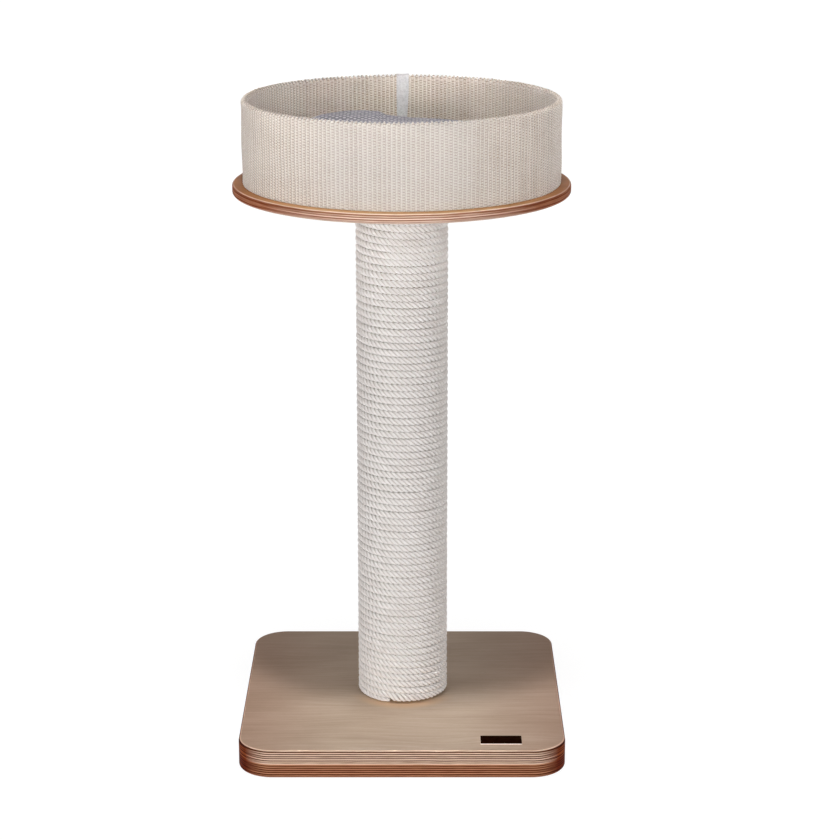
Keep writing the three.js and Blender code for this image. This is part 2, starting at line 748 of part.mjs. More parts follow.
const platform = assembly("platform", [
  ["platform_disc", platformDisc(), platformPly],
  ["platform_washer", washer().translate(0, 0, DISC_TOP), zincSteel],
  ["platform_bolt", platformBolt.translate(0, 0, PLATFORM_BOLT_SEAT), zincSteel],
]);

const basket = assembly("basket", [
  ["basket_floor", basketFloor(), birchPly],
  ...copies(
    "floor_screw",
    FLOOR_SCREW_COUNT,
    (i) => atFloorScrew(countersunk(FLOOR_SCREW_LENGTH), i),
    zincSteel,
  ),
  ["basket_hoop", hoop(), greyBoard],
  ...copies("hoop_nail", NAIL_COUNT, (i) => atNail(flatHeaded(NAIL_LENGTH), i), zincSteel),
  ["sisal_cloth", sisalClothFold(), sisalCloth],
  ["seam_strip", seamStrip(), seamTape],
  ["cushion", cushion(), plush],
]);

const scratchingPost = new THREE.Group();
scratchingPost.name = "scratching_post";
scratchingPost.add(base, post, platform, basket);

export default scratchingPost;
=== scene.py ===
"""Cat scratching post: birch plywood base, post wound with sisal rope, round basket with a cushion.

Metres, +Z up, the front towards -Y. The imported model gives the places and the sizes; the finish
of every surface, the rope's lay, the ribs of the sisal cloth and the soft cushion are made here.
"""

import functools
import math

import bmesh
import bpy
import numpy as np
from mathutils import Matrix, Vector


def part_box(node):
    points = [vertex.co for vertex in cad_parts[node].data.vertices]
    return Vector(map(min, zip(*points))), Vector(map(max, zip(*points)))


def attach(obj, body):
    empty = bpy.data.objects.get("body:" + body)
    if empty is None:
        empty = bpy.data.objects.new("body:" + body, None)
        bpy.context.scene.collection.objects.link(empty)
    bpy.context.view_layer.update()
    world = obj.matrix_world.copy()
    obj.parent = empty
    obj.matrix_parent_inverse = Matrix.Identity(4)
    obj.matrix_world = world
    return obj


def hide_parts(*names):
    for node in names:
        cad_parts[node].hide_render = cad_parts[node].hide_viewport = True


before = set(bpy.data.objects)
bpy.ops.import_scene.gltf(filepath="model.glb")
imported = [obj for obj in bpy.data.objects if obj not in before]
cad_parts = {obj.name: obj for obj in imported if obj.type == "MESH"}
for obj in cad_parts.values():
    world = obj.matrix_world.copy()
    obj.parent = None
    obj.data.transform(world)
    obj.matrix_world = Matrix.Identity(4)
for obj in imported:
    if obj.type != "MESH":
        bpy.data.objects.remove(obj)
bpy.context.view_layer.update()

MM = 0.001
MAIN_BODY = "post_and_basket"

# ---------------------------------------------------------------- sizes, from the frame and by name

BASE_LOW, BASE_SEAM = (corner.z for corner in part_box("base_lower_board"))
BASE_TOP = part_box("base_upper_board")[1].z
BASE_SIDE = 2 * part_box("base_upper_board")[1].x
BASE_CORNER_RADIUS = 43 * MM
BASE_EDGE_ROUND = 3.5 * MM
BASE_PLIES_PER_BOARD = 13
POCKET_RADIUS = 16 * MM
POCKET_DEPTH = 9.9 * MM
BOLT_HOLE_RADIUS = 5.5 * MM
OVERCUT = 1 * MM

DISC_BOTTOM, DISC_TOP = (corner.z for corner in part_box("platform_disc"))
DISC_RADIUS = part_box("platform_disc")[1].x
DISC_EDGE_ROUND = 3 * MM
DISC_PLIES = 9
DISC_SEGMENTS = 192
FLOOR_BOTTOM, FLOOR_TOP = (corner.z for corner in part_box("basket_floor"))
FLOOR_PLIES = 7

TUBE_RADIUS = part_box("post_tube")[1].x
ROPE_FOOT, ROPE_HEAD = (corner.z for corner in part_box("sisal_rope"))
ROPE_PITCH = 8.64 * MM
ROPE_GLUE = 0.3 * MM
ROPE_OUTER_RADIUS = TUBE_RADIUS + ROPE_GLUE + ROPE_PITCH
ROPE_WIDTH = 9.3 * MM
ROPE_DEPTH = 8.6 * MM
ROPE_TURNS = 75
ROPE_CUT_ANGLE = math.radians(-108)
ROPE_CUT_HEIGHT = 6.2 * MM
ROPE_CUT_TAPER = 0.15
ROPE_HANG = 1.5 * MM
ROPE_LEVEL_TURNS = 9
STRANDS_PER_TURN = 52
STRAND_RADIUS = 2.2 * MM
STRAND_STEPS_PER_LAY = 8
STRAND_SIDES = (-105, -66, -32, 0, 32, 66, 105)

CLOTH_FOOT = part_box("sisal_cloth")[0].z
CLOTH_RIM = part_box("sisal_cloth")[1].z
CLOTH_OUTER_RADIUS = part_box("sisal_cloth")[1].x
HOOP_OUTER_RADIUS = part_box("basket_hoop")[1].x
HOOP_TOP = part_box("basket_hoop")[1].z
HOOP_THICKNESS = 3 * MM
HOOP_INNER_RADIUS = HOOP_OUTER_RADIUS - HOOP_THICKNESS
HOOP_GAP = 0.1 * MM
CLOTH_THICKNESS = 2.3 * MM
CLOTH_INNER_RADIUS = HOOP_INNER_RADIUS - CLOTH_THICKNESS
CLOTH_GAP = 0.3 * MM
CLOTH_INNER_FOOT = FLOOR_TOP + CLOTH_GAP
FOLD_RADIUS = (CLOTH_OUTER_RADIUS - CLOTH_INNER_RADIUS) / 2
FOLD_MIDDLE = (CLOTH_OUTER_RADIUS + CLOTH_INNER_RADIUS) / 2
FOLD_HEIGHT = CLOTH_RIM - FOLD_RADIUS
RIB_COUNT = 220
RIB_DEPTH = 0.72 * MM
RIM_DEPTH = 2.1 * MM
RIM_STEPS = 7
RIB_BEAD = 3.2 * MM
# Unevenness of the ribs, as shares: aside, in height from rib to rib, and from bead to bead.
RIB_DRIFT = 0.12
RIB_PLUMPNESS = 0.08
RIB_BEAT = 0.17

# The label shows a little larger than it was first measured.
LABEL_SPARE = 1.2 * MM

STRIP_WIDTH = 16 * MM
STRIP_THICKNESS = 0.7 * MM
STRIP_COLUMNS = 13
STRIP_RIM_STEPS = 12

# ---------------------------------------------------------------- materials

# A Mix node that lays one colour over another, by its share in socket 0.
LAYER = {"output": 2, "data_type": "RGBA"}


def srgb(code):
    """A hex colour as linear red, green, blue and alpha."""
    channels = [int(code[i : i + 2], 16) / 255 for i in (0, 2, 4)]
    linear = [c / 12.92 if c <= 0.04045 else ((c + 0.055) / 1.055) ** 2.4 for c in channels]
    return (*linear, 1.0)


def add_node(tree, kind, inputs=(), output=0, stops=(), **settings):
    """Adds a node with its settings, links and colour stops, and returns one of its outputs.

    The kind may name an operation as well. Inputs go in order, or by number and name. Those of a
    MapRange are the value, the two ends it comes from and the two ends it goes to.
    """
    kind, _, operation = kind.partition(" ")
    made = tree.nodes.new("ShaderNode" + kind)
    if operation:
        made.operation = operation
    for key, value in settings.items():
        setattr(made, key, value)
    named = inputs if isinstance(inputs, dict) else dict(enumerate(inputs))
    for key, value in named.items():
        if isinstance(value, bpy.types.NodeSocket):
            tree.links.new(value, made.inputs[key])
        else:
            made.inputs[key].default_value = value
    for i, (place, colour) in enumerate(stops):
        elements = made.color_ramp.elements
        element = elements[i] if i < 2 else elements.new(place)
        element.position = place
        element.color = srgb(colour)
    return made.outputs[output] if len(made.outputs) else made


def new_material(name):
    """An empty node material, and the function that adds a node to it."""
    material = bpy.data.materials.new(name)
    material.use_nodes = True
    material.node_tree.nodes.clear()
    return material, functools.partial(add_node, material.node_tree)


def away_from(add, value, middle):
    """How far a value lies from a middle, on either side."""
    return add("Math ABSOLUTE", (add("Math SUBTRACT", (value, middle)),))


def birch_plywood(name, low, high, plies, face, edge_tones, band, side_shade_strength, face_shade_from, face_shade_share):
    """Birch plywood, oiled: veneers 1.4 mm thick, peeled, crossed and glued, then routed round.

    On an edge each veneer shows pale where its grain runs along the edge and dark where it is cut
    across, so the stripes swap at the corners; the face shows faint long grain with a satin oil.
    """
    light, dark, side_shade_tone = edge_tones
    material, add = new_material(name)
    place = add("TexCoord", output="Object")
    facing = add("TexCoord", output="Normal")
    split = add("SeparateXYZ", (place,)).node.outputs
    turn = add("SeparateXYZ", (facing,)).node.outputs

    # Wavering of the glue lines: 0.4 mm over some 40 mm.
    waver_at = add("Mapping", {0: place, "Scale": (25, 25, 0)})
    waver = add("TexNoise", {0: waver_at, "Scale": 1.0, "Detail": 1.0})
    waver = add("Math SUBTRACT", (waver, 0.5))
    lifted = add("Math MULTIPLY_ADD", (waver, 0.8 * MM, split["Z"]))
    share = add("MapRange", (lifted, low, high, 0.0, plies), clamp=False)
    number = add("Math FLOOR", (share,))
    across = add("Math FRACT", (share,))
    odd = add("Math FLOORED_MODULO", (number, 2.0))

    # How far the grain of this ply points out of the edge.
    along_x = add("Math MULTIPLY", (turn["X"], turn["X"]))
    along_y = add("Math MULTIPLY", (turn["Y"], turn["Y"]))
    end_grain = add("Mix", {0: odd, "A": along_x, "B": along_y}, data_type="FLOAT")
    tone = add("TexWhiteNoise", {"W": number}, noise_dimensions="1D")
    tone = add("Math MULTIPLY_ADD", (tone, 0.8, -0.4))
    # The veneers just under the top face drank the most oil: a dark line, faint at the front.
    from_band = away_from(add, lifted, high - 2.0 * MM)
    in_band = add("MapRange", (from_band, 1.1 * MM, 0.7 * MM, 0.0, band))
    at_side = add("MapRange", (along_x, 0.0, 0.3, 0.55))
    second = add("Math MULTIPLY", (in_band, at_side))
    # Torn fibres on the cut edge: streaks 25 mm long and 0.5 mm high.
    streak_at = add("Mapping", {0: place, "Scale": (40, 40, 1900)})
    streak = add("TexNoise", {0: streak_at, "Scale": 1.0, "Detail": 3.0})
    streak = add("Math MULTIPLY_ADD", (streak, 1.5, -0.75))
    darkness = add("Math ADD", (end_grain, tone))
    darkness = add("Math ADD", (darkness, second))
    darkness = add("Math ADD", (darkness, streak), use_clamp=True)
    edge = add("Mix", {0: darkness, "A": srgb(light), "B": srgb(dark)}, **LAYER)
    # Dark glue lines, 0.1 mm thick, drawn up to 0.4 mm wide so that they show.
    from_middle = away_from(add, across, 0.5)
    glue = add("MapRange", (from_middle, 0.36, 0.5, 0.0, 0.55))
    edge = add("Mix", {0: glue, "A": edge, "B": srgb(dark)}, **LAYER)
    # Painted shade: the edge is darkened and reddened towards the two sides, where less light falls.
    painted_side_shade = add("MapRange", (along_x, 0.02, 0.6, 0.0, side_shade_strength))
    edge = add("Mix", {0: painted_side_shade, "A": edge, "B": srgb(side_shade_tone)}, **LAYER, blend_type="MULTIPLY")

    # Face veneer: broad clouds, long grain along X with lines some 3 mm apart, and fine pores.
    cloud_at = add("Mapping", {0: place, "Scale": (7, 16, 7)})
    cloud = add("TexNoise", {0: cloud_at, "Scale": 1.0, "Detail": 3.0})
    swept = add("Mapping", {0: place, "Scale": (5, 11, 0)})
    swept = add("TexNoise", {0: swept, "Scale": 1.0, "Detail": 1.0})
    swept = add("Math MULTIPLY", (swept, 40 * MM))
    swept = add("CombineXYZ", {1: swept})
    swept = add("VectorMath ADD", (place, swept))
    grain_at = add("Mapping", {0: swept, "Scale": (9, 330, 9)})
    grain = add("TexNoise", {0: grain_at, "Scale": 1.0, "Detail": 4.0, "Distortion": 0.6})
    pore_at = add("Mapping", {0: place, "Scale": (190, 2400, 190)})
    pore = add("TexNoise", {0: pore_at, "Scale": 1.0})
    mixed = add("Math MULTIPLY_ADD", (grain, 0.8, cloud))
    mixed = add("Math MULTIPLY_ADD", (pore, 0.35, mixed))
    veneer = add(
        "ValToRGB",
        (add("Math MULTIPLY", (mixed, 0.465)),),
        stops=((0.34, face[0]), (0.66, face[2]), (0.5, face[1])),
    )
    # Painted shade: the face is darkened towards the two sides, where the light falls off.
    aside = add("Math ABSOLUTE", (split["X"],))
    painted_face_shade = add(
        "MapRange", (aside, face_shade_from, DISC_RADIUS, 0.0, face_shade_share), interpolation_type="SMOOTHSTEP"
    )
    veneer = add(
        "Mix", {0: painted_face_shade, "A": veneer, "B": srgb(side_shade_tone)}, **LAYER, blend_type="MULTIPLY"
    )
    # Painted light: a warm pool of light thrown back from the rope lies in front of its foot.
    flat_place = add("Mapping", {0: place, "Scale": (1, 1, 0)})
    from_post = add("VectorMath LENGTH", (flat_place,), output=1)
    painted_bounce_light = add("MapRange", (from_post, 76 * MM, 57 * MM, 0.0, 0.6), interpolation_type="SMOOTHSTEP")
    in_front = add("MapRange", (split["Y"], -20 * MM, -55 * MM))
    painted_bounce_light = add("Math MULTIPLY", (painted_bounce_light, in_front))
    veneer = add("Mix", {0: painted_bounce_light, "A": veneer, "B": srgb("E3BB93")}, **LAYER)
    upright = add("Math ABSOLUTE", (turn["Z"],))
    is_face = add("MapRange", (upright, 0.86, 0.985))
    colour = add("Mix", {0: is_face, "A": edge, "B": veneer}, **LAYER)
    height = add("Math ADD", (grain, streak))
    bump = add("Bump", {"Strength": 0.25, "Distance": 0.15 * MM, "Height": height})
    roughness = add("MapRange", (grain, 0.3, 0.7, 0.66, 0.8))
    shader = add(
        "BsdfPrincipled",
        {
            "Base Color": colour, "Roughness": roughness, "Normal": bump, "IOR": 1.5,
            "Specular IOR Level": 0.06,
        },
    )
    add("OutputMaterial", (shader,))
    return material


def sisal_yarn(name):
    """Natural sisal rope: long pale leaf fibres spun into three strands and laid up.

    The fibres run at a slant round each strand and give dry, streaky light and dark threads; the
    grooves between the strands carry a little painted shade.
    """
    material, add = new_material(name)
    along = add("UVMap", uv_map="along_strand")
    slanted = add("Mapping", {0: along, "Rotation": (0, 0, math.radians(33))})
    # Fibre bundles some 0.4 mm thick that run 9 mm before they dive in.
    fibre_at = add("Mapping", {0: slanted, "Scale": (110, 2300, 1)})
    fibre = add("TexNoise", {0: fibre_at, "Scale": 1.0, "Detail": 3.0})
    patch_at = add("Mapping", {0: along, "Scale": (22, 60, 1)})
    patch = add("TexNoise", {0: patch_at, "Scale": 1.0})
    mixed = add("Math MULTIPLY_ADD", (patch, 0.4, fibre))
    fibres = add(
        "ValToRGB",
        (mixed,),
        stops=((0.42, "D3CBC7"), (0.95, "FDFCFC"), (0.58, "F0ECEA"), (0.75, "F8F6F5")),
    )
    # Painted shade in the grooves between the strands.
    from_crest = add("SeparateXYZ", (along,)).node.outputs["Y"]
    from_crest = add("Math ABSOLUTE", (from_crest,))
    groove = add("MapRange", (from_crest, 0.7 * STRAND_RADIUS, 1.4 * STRAND_RADIUS, 0.0, 0.2))
    colour = add("Mix", {0: groove, "A": fibres, "B": srgb("B8A696")}, **LAYER, blend_type="MULTIPLY")
    bump = add("Bump", {"Strength": 0.7, "Distance": 0.35 * MM, "Height": fibre})
    shader = add(
        "BsdfPrincipled",
        {"Base Color": colour, "Roughness": 0.82, "IOR": 1.45, "Specular IOR Level": 0.1, "Normal": bump},
    )
    add("OutputMaterial", (shader,))
    return material


def woven_sisal(name, thread, dash, pale, gap_shade, outside_shade):
    """Woven sisal cloth: stiff upright cords of plied yarn, tied by thin cross threads.

    Every 5.5 mm a thin pale cord and a broad beige one; a tie every 3.2 mm leaves a small dark
    dash on the broad cord and a pale bead on the thin one. Dry, matt yarn, warmer inside: the outside
    carries a greyer painted shade, and the gaps a darker one.
    """
    material, add = new_material(name)
    flat = add("UVMap", uv_map="over_cloth")
    split = add("SeparateXYZ", (flat,)).node.outputs
    rib = add("Math FLOOR", (split["X"],))
    in_rib = add("Math FRACT", (split["X"],))
    odd = add("Math FLOORED_MODULO", (rib, 2.0))
    offset = add("TexWhiteNoise", {"W": rib}, noise_dimensions="1D")
    height = add("Math MULTIPLY_ADD", (odd, 0.5, split["Y"]))
    wave = add("Math MULTIPLY", (height, math.tau))
    wave = add("Math COSINE", (wave,))
    tied = add("MapRange", (wave, 0.0, -0.8))
    beaded = add("MapRange", (wave, -0.6, 0.6, 0.3))
    # The dash lies across the middle of the broad cord only.
    from_broad = away_from(add, in_rib, 0.65)
    on_broad = add("MapRange", (from_broad, 0.32, 0.22))
    from_thin = away_from(add, in_rib, 0.19)
    on_thin = add("MapRange", (from_thin, 0.15, 0.09))
    place = add("TexCoord", output="Object")
    level = add("SeparateXYZ", (place,)).node.outputs["Z"]
    # Each rib has one deep gap, and a shallow one between its two cords; both are darkened as painted
    # shade.
    from_gap = away_from(add, in_rib, 0.5)
    painted_gap_shade = add("MapRange", (from_gap, 0.34, 0.47, 0.0, 0.62))
    from_cleft = away_from(add, in_rib, 0.345)
    in_cleft = add("MapRange", (from_cleft, 0.08, 0.02, 0.0, 0.4))
    painted_gap_shade = add("Math MAXIMUM", (painted_gap_shade, in_cleft))
    # The gaps show more towards the two sides of the basket, as they do in the photo; their painted
    # shade grows there.
    aside = add("SeparateXYZ", (place,)).node.outputs["X"]
    aside = add("Math ABSOLUTE", (aside,))
    gap_shade_aside = add("MapRange", (aside, 70 * MM, 175 * MM, 0.3, 1.35))
    painted_gap_shade = add("Math MULTIPLY", (painted_gap_shade, gap_shade_aside), use_clamp=True)
    # Yarn that is not even: it fades some of the dashes and streaks the cords lengthwise.
    yarn_at = add("Mapping", {0: flat, "Scale": (6.0, 2.6, 1)})
    yarn = add("TexNoise", {0: yarn_at, "Scale": 1.0, "Detail": 4.0})
    bright_at = add("Mapping", {0: flat, "Scale": (1.3, 1.1, 1)})
    bright = add("TexNoise", {0: bright_at, "Scale": 1.0, "Detail": 3.0})
    bright = add("MapRange", (bright, 0.35, 0.65, 0.3))
    thin_shown = add("Math MULTIPLY", (on_thin, bright))
    thin_shown = add("Math MULTIPLY", (thin_shown, beaded))
    cloud_at = add("Mapping", {0: flat, "Scale": (0.1, 0.1, 1)})
    cloud = add("TexNoise", {0: cloud_at, "Scale": 1.0})
    shown = add("Math MULTIPLY", (tied, on_broad))
    shown = add("Math MULTIPLY", (shown, yarn))
    streaks = add("Math MULTIPLY_ADD", (cloud, 0.2, yarn))
    tinted = add("Math MULTIPLY_ADD", (offset, 0.06, streaks))
    ground = add("ValToRGB", (tinted,), stops=((0.4, dash), (0.92, pale), (0.6, thread)))
    cords = add("Mix", {0: thin_shown, "A": ground, "B": srgb(pale)}, **LAYER)
    dashes = add("Math MULTIPLY", (shown, 1.5), use_clamp=True)
    tied_cords = add("Mix", {0: dashes, "A": cords, "B": srgb(dash)}, **LAYER)
    # Painted shade: outside, the yarn is painted a shade greyer and more even, most in front.
    flat_place = add("Mapping", {0: place, "Scale": (1, 1, 0)})
    from_post = add("VectorMath LENGTH", (flat_place,), output=1)
    outside = add("MapRange", (from_post, CLOTH_INNER_RADIUS, FOLD_MIDDLE, 0.0, 0.55))
    under_rim = add("MapRange", (level, CLOTH_RIM, FOLD_HEIGHT, 0.7))
    outside = add("Math MULTIPLY", (outside, under_rim))
    painted_shade_in_front = add("MapRange", (aside, 70 * MM, 160 * MM, 1.0, 0.2))
    outside = add("Math MULTIPLY", (outside, painted_shade_in_front))
    colour = add("Mix", {0: outside, "A": tied_cords, "B": srgb(outside_shade)}, **LAYER)
    colour = add("Mix", {0: painted_gap_shade, "A": colour, "B": srgb(gap_shade)}, **LAYER)
    # Over the rim the cords spread and the gaps between them get a dark painted shade.
    opened = add("MapRange", (level, FOLD_HEIGHT, CLOTH_RIM - 1 * MM, 0.0, 0.9))
    painted_rim_gap_shade = add("MapRange", (from_gap, 0.28, 0.44, 0.0, opened))
    colour = add("Mix", {0: painted_rim_gap_shade, "A": colour, "B": srgb("564B40")}, **LAYER)
    relief = add("Math MULTIPLY_ADD", (shown, -1.6, yarn))
    relief = add("Math MULTIPLY_ADD", (thin_shown, 0.5, relief))
    bump = add("Bump", {"Strength": 1.0, "Distance": 0.9 * MM, "Height": relief})
    shader = add(
        "BsdfPrincipled",
        {
            "Base Color": colour, "Roughness": 0.88, "IOR": 1.45, "Normal": bump, "Sheen Weight": 1.0,
            "Sheen Roughness": 0.35,
        },
    )
    add("OutputMaterial", (shader,))
    return material


def cotton_tape(name):
    """Woven cotton tape: flat greyish-white twill with threads about 0.6 mm apart."""
    material, add = new_material(name)
    place = add("TexCoord", output="Object")
    turned = add("Mapping", {0: place, "Rotation": (0, math.radians(38), 0)})
    twill = add(
        "TexWave",
        {0: turned, "Scale": 1 / (0.64 * math.pi * MM), "Distortion": 0.8, "Detail": 1.0},
        output="Fac",
        bands_direction="X",
    )
    speck = add("TexNoise", {0: place, "Scale": 420.0})
    mixed = add("Math MULTIPLY_ADD", (twill, 0.3, speck))
    colour = add("ValToRGB", (mixed,), stops=((0.3, "B9B6B7"), (0.95, "ECEBEC"), (0.6, "DBD9DA")))
    bump = add("Bump", {"Strength": 0.4, "Distance": 0.2 * MM, "Height": mixed})
    shader = add("BsdfPrincipled", {"Base Color": colour, "Roughness": 0.85, "IOR": 1.45, "Normal": bump})
    add("OutputMaterial", (shader,))
    return material


def dotted_plush(name):
    """Knitted polyester plush, short cropped pile, with pale raised dots in staggered rows."""
    material, add = new_material(name)
    place = add("TexCoord", output="Object")
    facing = add("TexCoord", output="Normal")
    # Staggered rows: a dot every 9 mm in a row, the rows 6 mm apart, also up a slope.
    split = add("SeparateXYZ", (place,)).node.outputs
    up_slope = add("Math ADD", (split["Y"], split["Z"]))
    draped = add("CombineXYZ", (split["X"], up_slope))
    rows_at = add("Mapping", {0: draped, "Scale": (112, 83, 0)})
    turned = add("Mapping", {0: rows_at, "Rotation": (0, 0, math.radians(45))})
    dots = add(
        "TexVoronoi",
        {0: turned, "Scale": math.sqrt(2), "Randomness": 0.15},
        output="Distance",
        voronoi_dimensions="2D",
    )
    dot = add("MapRange", (dots, 0.34, 0.24, 0.0, 0.6))
    upright = add("SeparateXYZ", (facing,)).node.outputs["Z"]
    on_flat = add("MapRange", (upright, 0.3, 0.6))
    dot = add("Math MULTIPLY", (dot, on_flat))
    pile = add("TexNoise", {0: place, "Scale": 1300.0, "Detail": 3.0})
    brushed = add("TexNoise", {0: place, "Scale": 28.0, "Detail": 3.0})
    mixed = add("Math MULTIPLY_ADD", (brushed, 0.6, pile))
    ground = add("ValToRGB", (mixed,), stops=((0.5, "6A666E"), (1.05, "93909A"), (0.78, "7F7B84")))
    colour = add("Mix", {0: dot, "A": ground, "B": srgb("E4E3E5")}, **LAYER)
    relief = add("Math MULTIPLY_ADD", (dot, 0.8, pile))
    bump = add("Bump", {"Strength": 0.7, "Distance": 0.6 * MM, "Height": relief})
    shader = add(
        "BsdfPrincipled",
        {
            "Base Color": colour, "Roughness": 0.95, "IOR": 1.45, "Normal": bump, "Sheen Weight": 0.1,
            "Sheen Roughness": 0.4,
        },
    )
    add("OutputMaterial", (shader,))
    return material


def leather(name, dark, light, roughness, shine):
    """Vegetable-tanned leather, dyed and pressed: fine pebbled grain about 0.7 mm across."""
    material, add = new_material(name)
    place = add("TexCoord", output="Object")
    pebbles = add("TexVoronoi", {0: place, "Scale": 1400.0}, output="Distance")
    worn = add("TexNoise", {0: place, "Scale": 160.0, "Detail": 4.0})
    colour = add("ValToRGB", (worn,), stops=((0.35, dark), (0.75, light)))
    bump = add("Bump", {"Strength": 0.35, "Distance": 0.15 * MM, "Height": pebbles})
    shader = add(
        "BsdfPrincipled",
        {
            "Base Color": colour, "Roughness": roughness, "IOR": 1.5, "Specular IOR Level": shine,
            "Normal": bump,
        },
    )
    add("OutputMaterial", (shader,))
    return material


def wound_cardboard(name):
    """Grey-brown cardboard, wound from glued paper: level pressed fibres some 3 mm long."""
    material, add = new_material(name)
    place = add("TexCoord", output="Object")
    fibres_at = add("Mapping", {0: place, "Scale": (300, 300, 900)})
    fibres = add("TexNoise", {0: fibres_at, "Scale": 1.0, "Detail": 5.0})
    colour = add("ValToRGB", (fibres,), stops=((0.3, "806C53"), (0.7, "A8927A")))
    bump = add("Bump", {"Strength": 0.3, "Distance": 0.2 * MM, "Height": fibres})
    shader = add("BsdfPrincipled", {"Base Color": colour, "Roughness": 0.9, "IOR": 1.45, "Normal": bump})
    add("OutputMaterial", (shader,))
    return material


def turned_beech(name):
    """Beech, turned along the grain and left raw: brown flecks 2 mm wide and 11 mm long."""
    material, add = new_material(name)
    place = add("TexCoord", output="Object")
    fleck_at = add("Mapping", {0: place, "Scale": (500, 500, 90)})
    fleck = add("TexNoise", {0: fleck_at, "Scale": 1.0, "Detail": 3.0})
    colour = add("ValToRGB", (fleck,), stops=((0.35, "A67E55"), (0.65, "CDAA80")))
    bump = add("Bump", {"Strength": 0.2, "Distance": 0.15 * MM, "Height": fleck})
    shader = add("BsdfPrincipled", {"Base Color": colour, "Roughness": 0.6, "IOR": 1.5, "Normal": bump})
    add("OutputMaterial", (shader,))
    return material


def zinc_plated_steel(name):
    """Steel, cold-headed and zinc-plated: bright grey with a cloudy blue-grey passivation."""
    material, add = new_material(name)
    place = add("TexCoord", output="Object")
    cloud = add("TexNoise", {0: place, "Scale": 320.0, "Detail": 4.0})
    colour = add("ValToRGB", (cloud,), stops=((0.3, "A9ACB2"), (0.7, "CACBCC")))
    roughness = add("MapRange", (cloud, 0.3, 0.7, 0.28, 0.45))
    shader = add("BsdfPrincipled", {"Base Color": colour, "Metallic": 1.0, "Roughness": roughness})
    add("OutputMaterial", (shader,))
    return material


# Veneer faces from dark to light; edges as the light tone, the dark tone and the painted shade's tone.
BASE_VENEER = ("AB9783", "BAA693", "C7B5A3")
DISC_VENEER = ("98714B", "AB835B", "BA946D")
UPPER_EDGE = ("E6CBB6", "55301D", "A8571C")
LOWER_EDGE = ("B57E5E", "46200D", "A8571C")
DISC_EDGE = ("E3CDBD", "8C5D44", "B4703C")
# Painted shade: how strong it is on the edges' sides, and on the face from some way out.
BASE_PAINTED_SHADE = {"side_shade_strength": 0.97, "face_shade_from": 60 * MM, "face_shade_share": 0.35}

MATERIALS = {
    "upper_board": birch_plywood(
        "birch_plywood_upper", BASE_SEAM, BASE_TOP, BASE_PLIES_PER_BOARD, BASE_VENEER, UPPER_EDGE,
        band=1.6, **BASE_PAINTED_SHADE,
    ),
    "lower_board": birch_plywood(
        "birch_plywood_lower", BASE_LOW, BASE_SEAM, BASE_PLIES_PER_BOARD, BASE_VENEER, LOWER_EDGE,
        band=0.2, **BASE_PAINTED_SHADE,
    ),
    "disc": birch_plywood(
        "birch_plywood_platform", DISC_BOTTOM, DISC_TOP, DISC_PLIES, DISC_VENEER, DISC_EDGE,
        band=0.6, side_shade_strength=0.85, face_shade_from=90 * MM, face_shade_share=0.6,
    ),
    "floor_board": birch_plywood(
        "birch_plywood_floor", FLOOR_BOTTOM, FLOOR_TOP, FLOOR_PLIES, BASE_VENEER, DISC_EDGE,
        band=0.0, side_shade_strength=0.0, face_shade_from=90 * MM, face_shade_share=0.0,
    ),
    "rope": sisal_yarn("sisal_rope_yarn"),
    "cloth": woven_sisal("sisal_cloth", "EBDDD0", "967859", "FFFAF3", "76604C", "AFAFAC"),
    "tape": cotton_tape("cotton_seam_tape"),
    "plush": dotted_plush("dotted_plush"),
    "label_face": leather("label_leather_face", "130602", "241008", 0.95, 0.0),
    "label_edge": leather("label_leather_cut_edge", "EAD6CB", "F8EEE8", 0.85, 0.3),
    "cardboard": wound_cardboard("wound_cardboard"),
    "beech": turned_beech("turned_beech"),
    "steel": zinc_plated_steel("zinc_plated_steel"),
}

# ---------------------------------------------------------------- modelling by hand


def start_clean():
    """Leaves edit mode with nothing selected."""
    if bpy.context.object is not None and bpy.context.object.mode != "OBJECT":
        bpy.ops.object.mode_set(mode="OBJECT")
    bpy.ops.object.select_all(action="DESELECT")


def pick(piece):
    """Selects one piece only."""
    start_clean()
    piece.select_set(True)
    bpy.context.view_layer.objects.active = piece


def apply_modifier(piece, kind, **settings):
    """Gives the picked piece a modifier with its settings, and applies it."""
    modifier = piece.modifiers.new(kind.lower(), kind)
    for key, value in settings.items():
        setattr(modifier, key, value)
    bpy.ops.object.modifier_apply(modifier=modifier.name)


def linked(name, data):
    """A new object in the scene."""
    made = bpy.data.objects.new(name, data)
    bpy.context.scene.collection.objects.link(made)
    return made


def settle(piece, name, material):
    """Names a fresh piece and moves its place, turn and scale into its mesh."""
    piece.name = name
    piece.data.name = name
    bpy.ops.object.transform_apply(location=True, rotation=True, scale=True)
    piece.data.materials.append(MATERIALS[material])
    return piece


def bevel_edges(piece, wanted, width, segments):
    """Rounds the edges whose two ends pass the test."""
    bpy.ops.object.mode_set(mode="EDIT")
    bpy.ops.mesh.select_mode(type="EDGE")
    bpy.ops.mesh.select_all(action="DESELECT")
    mesh = bmesh.from_edit_mesh(piece.data)
    for edge in mesh.edges:
        edge.select_set(wanted(*(vertex.co for vertex in edge.verts)))
    bmesh.update_edit_mesh(piece.data)
    bpy.ops.mesh.bevel(offset=width, offset_type="OFFSET", segments=segments, affect="EDGES")
    bpy.ops.object.mode_set(mode="OBJECT")


def drill(piece, radius, low, high):
    """Cuts an upright round hole about the middle of the object."""
    start_clean()
    bpy.ops.mesh.primitive_cylinder_add(
        vertices=64, radius=radius, depth=high - low, location=(0, 0, (low + high) / 2)
    )
    cutter = bpy.context.object
    pick(piece)
    apply_modifier(piece, "BOOLEAN", object=cutter, operation="DIFFERENCE", solver="EXACT")
    bpy.data.objects.remove(cutter, do_unlink=True)


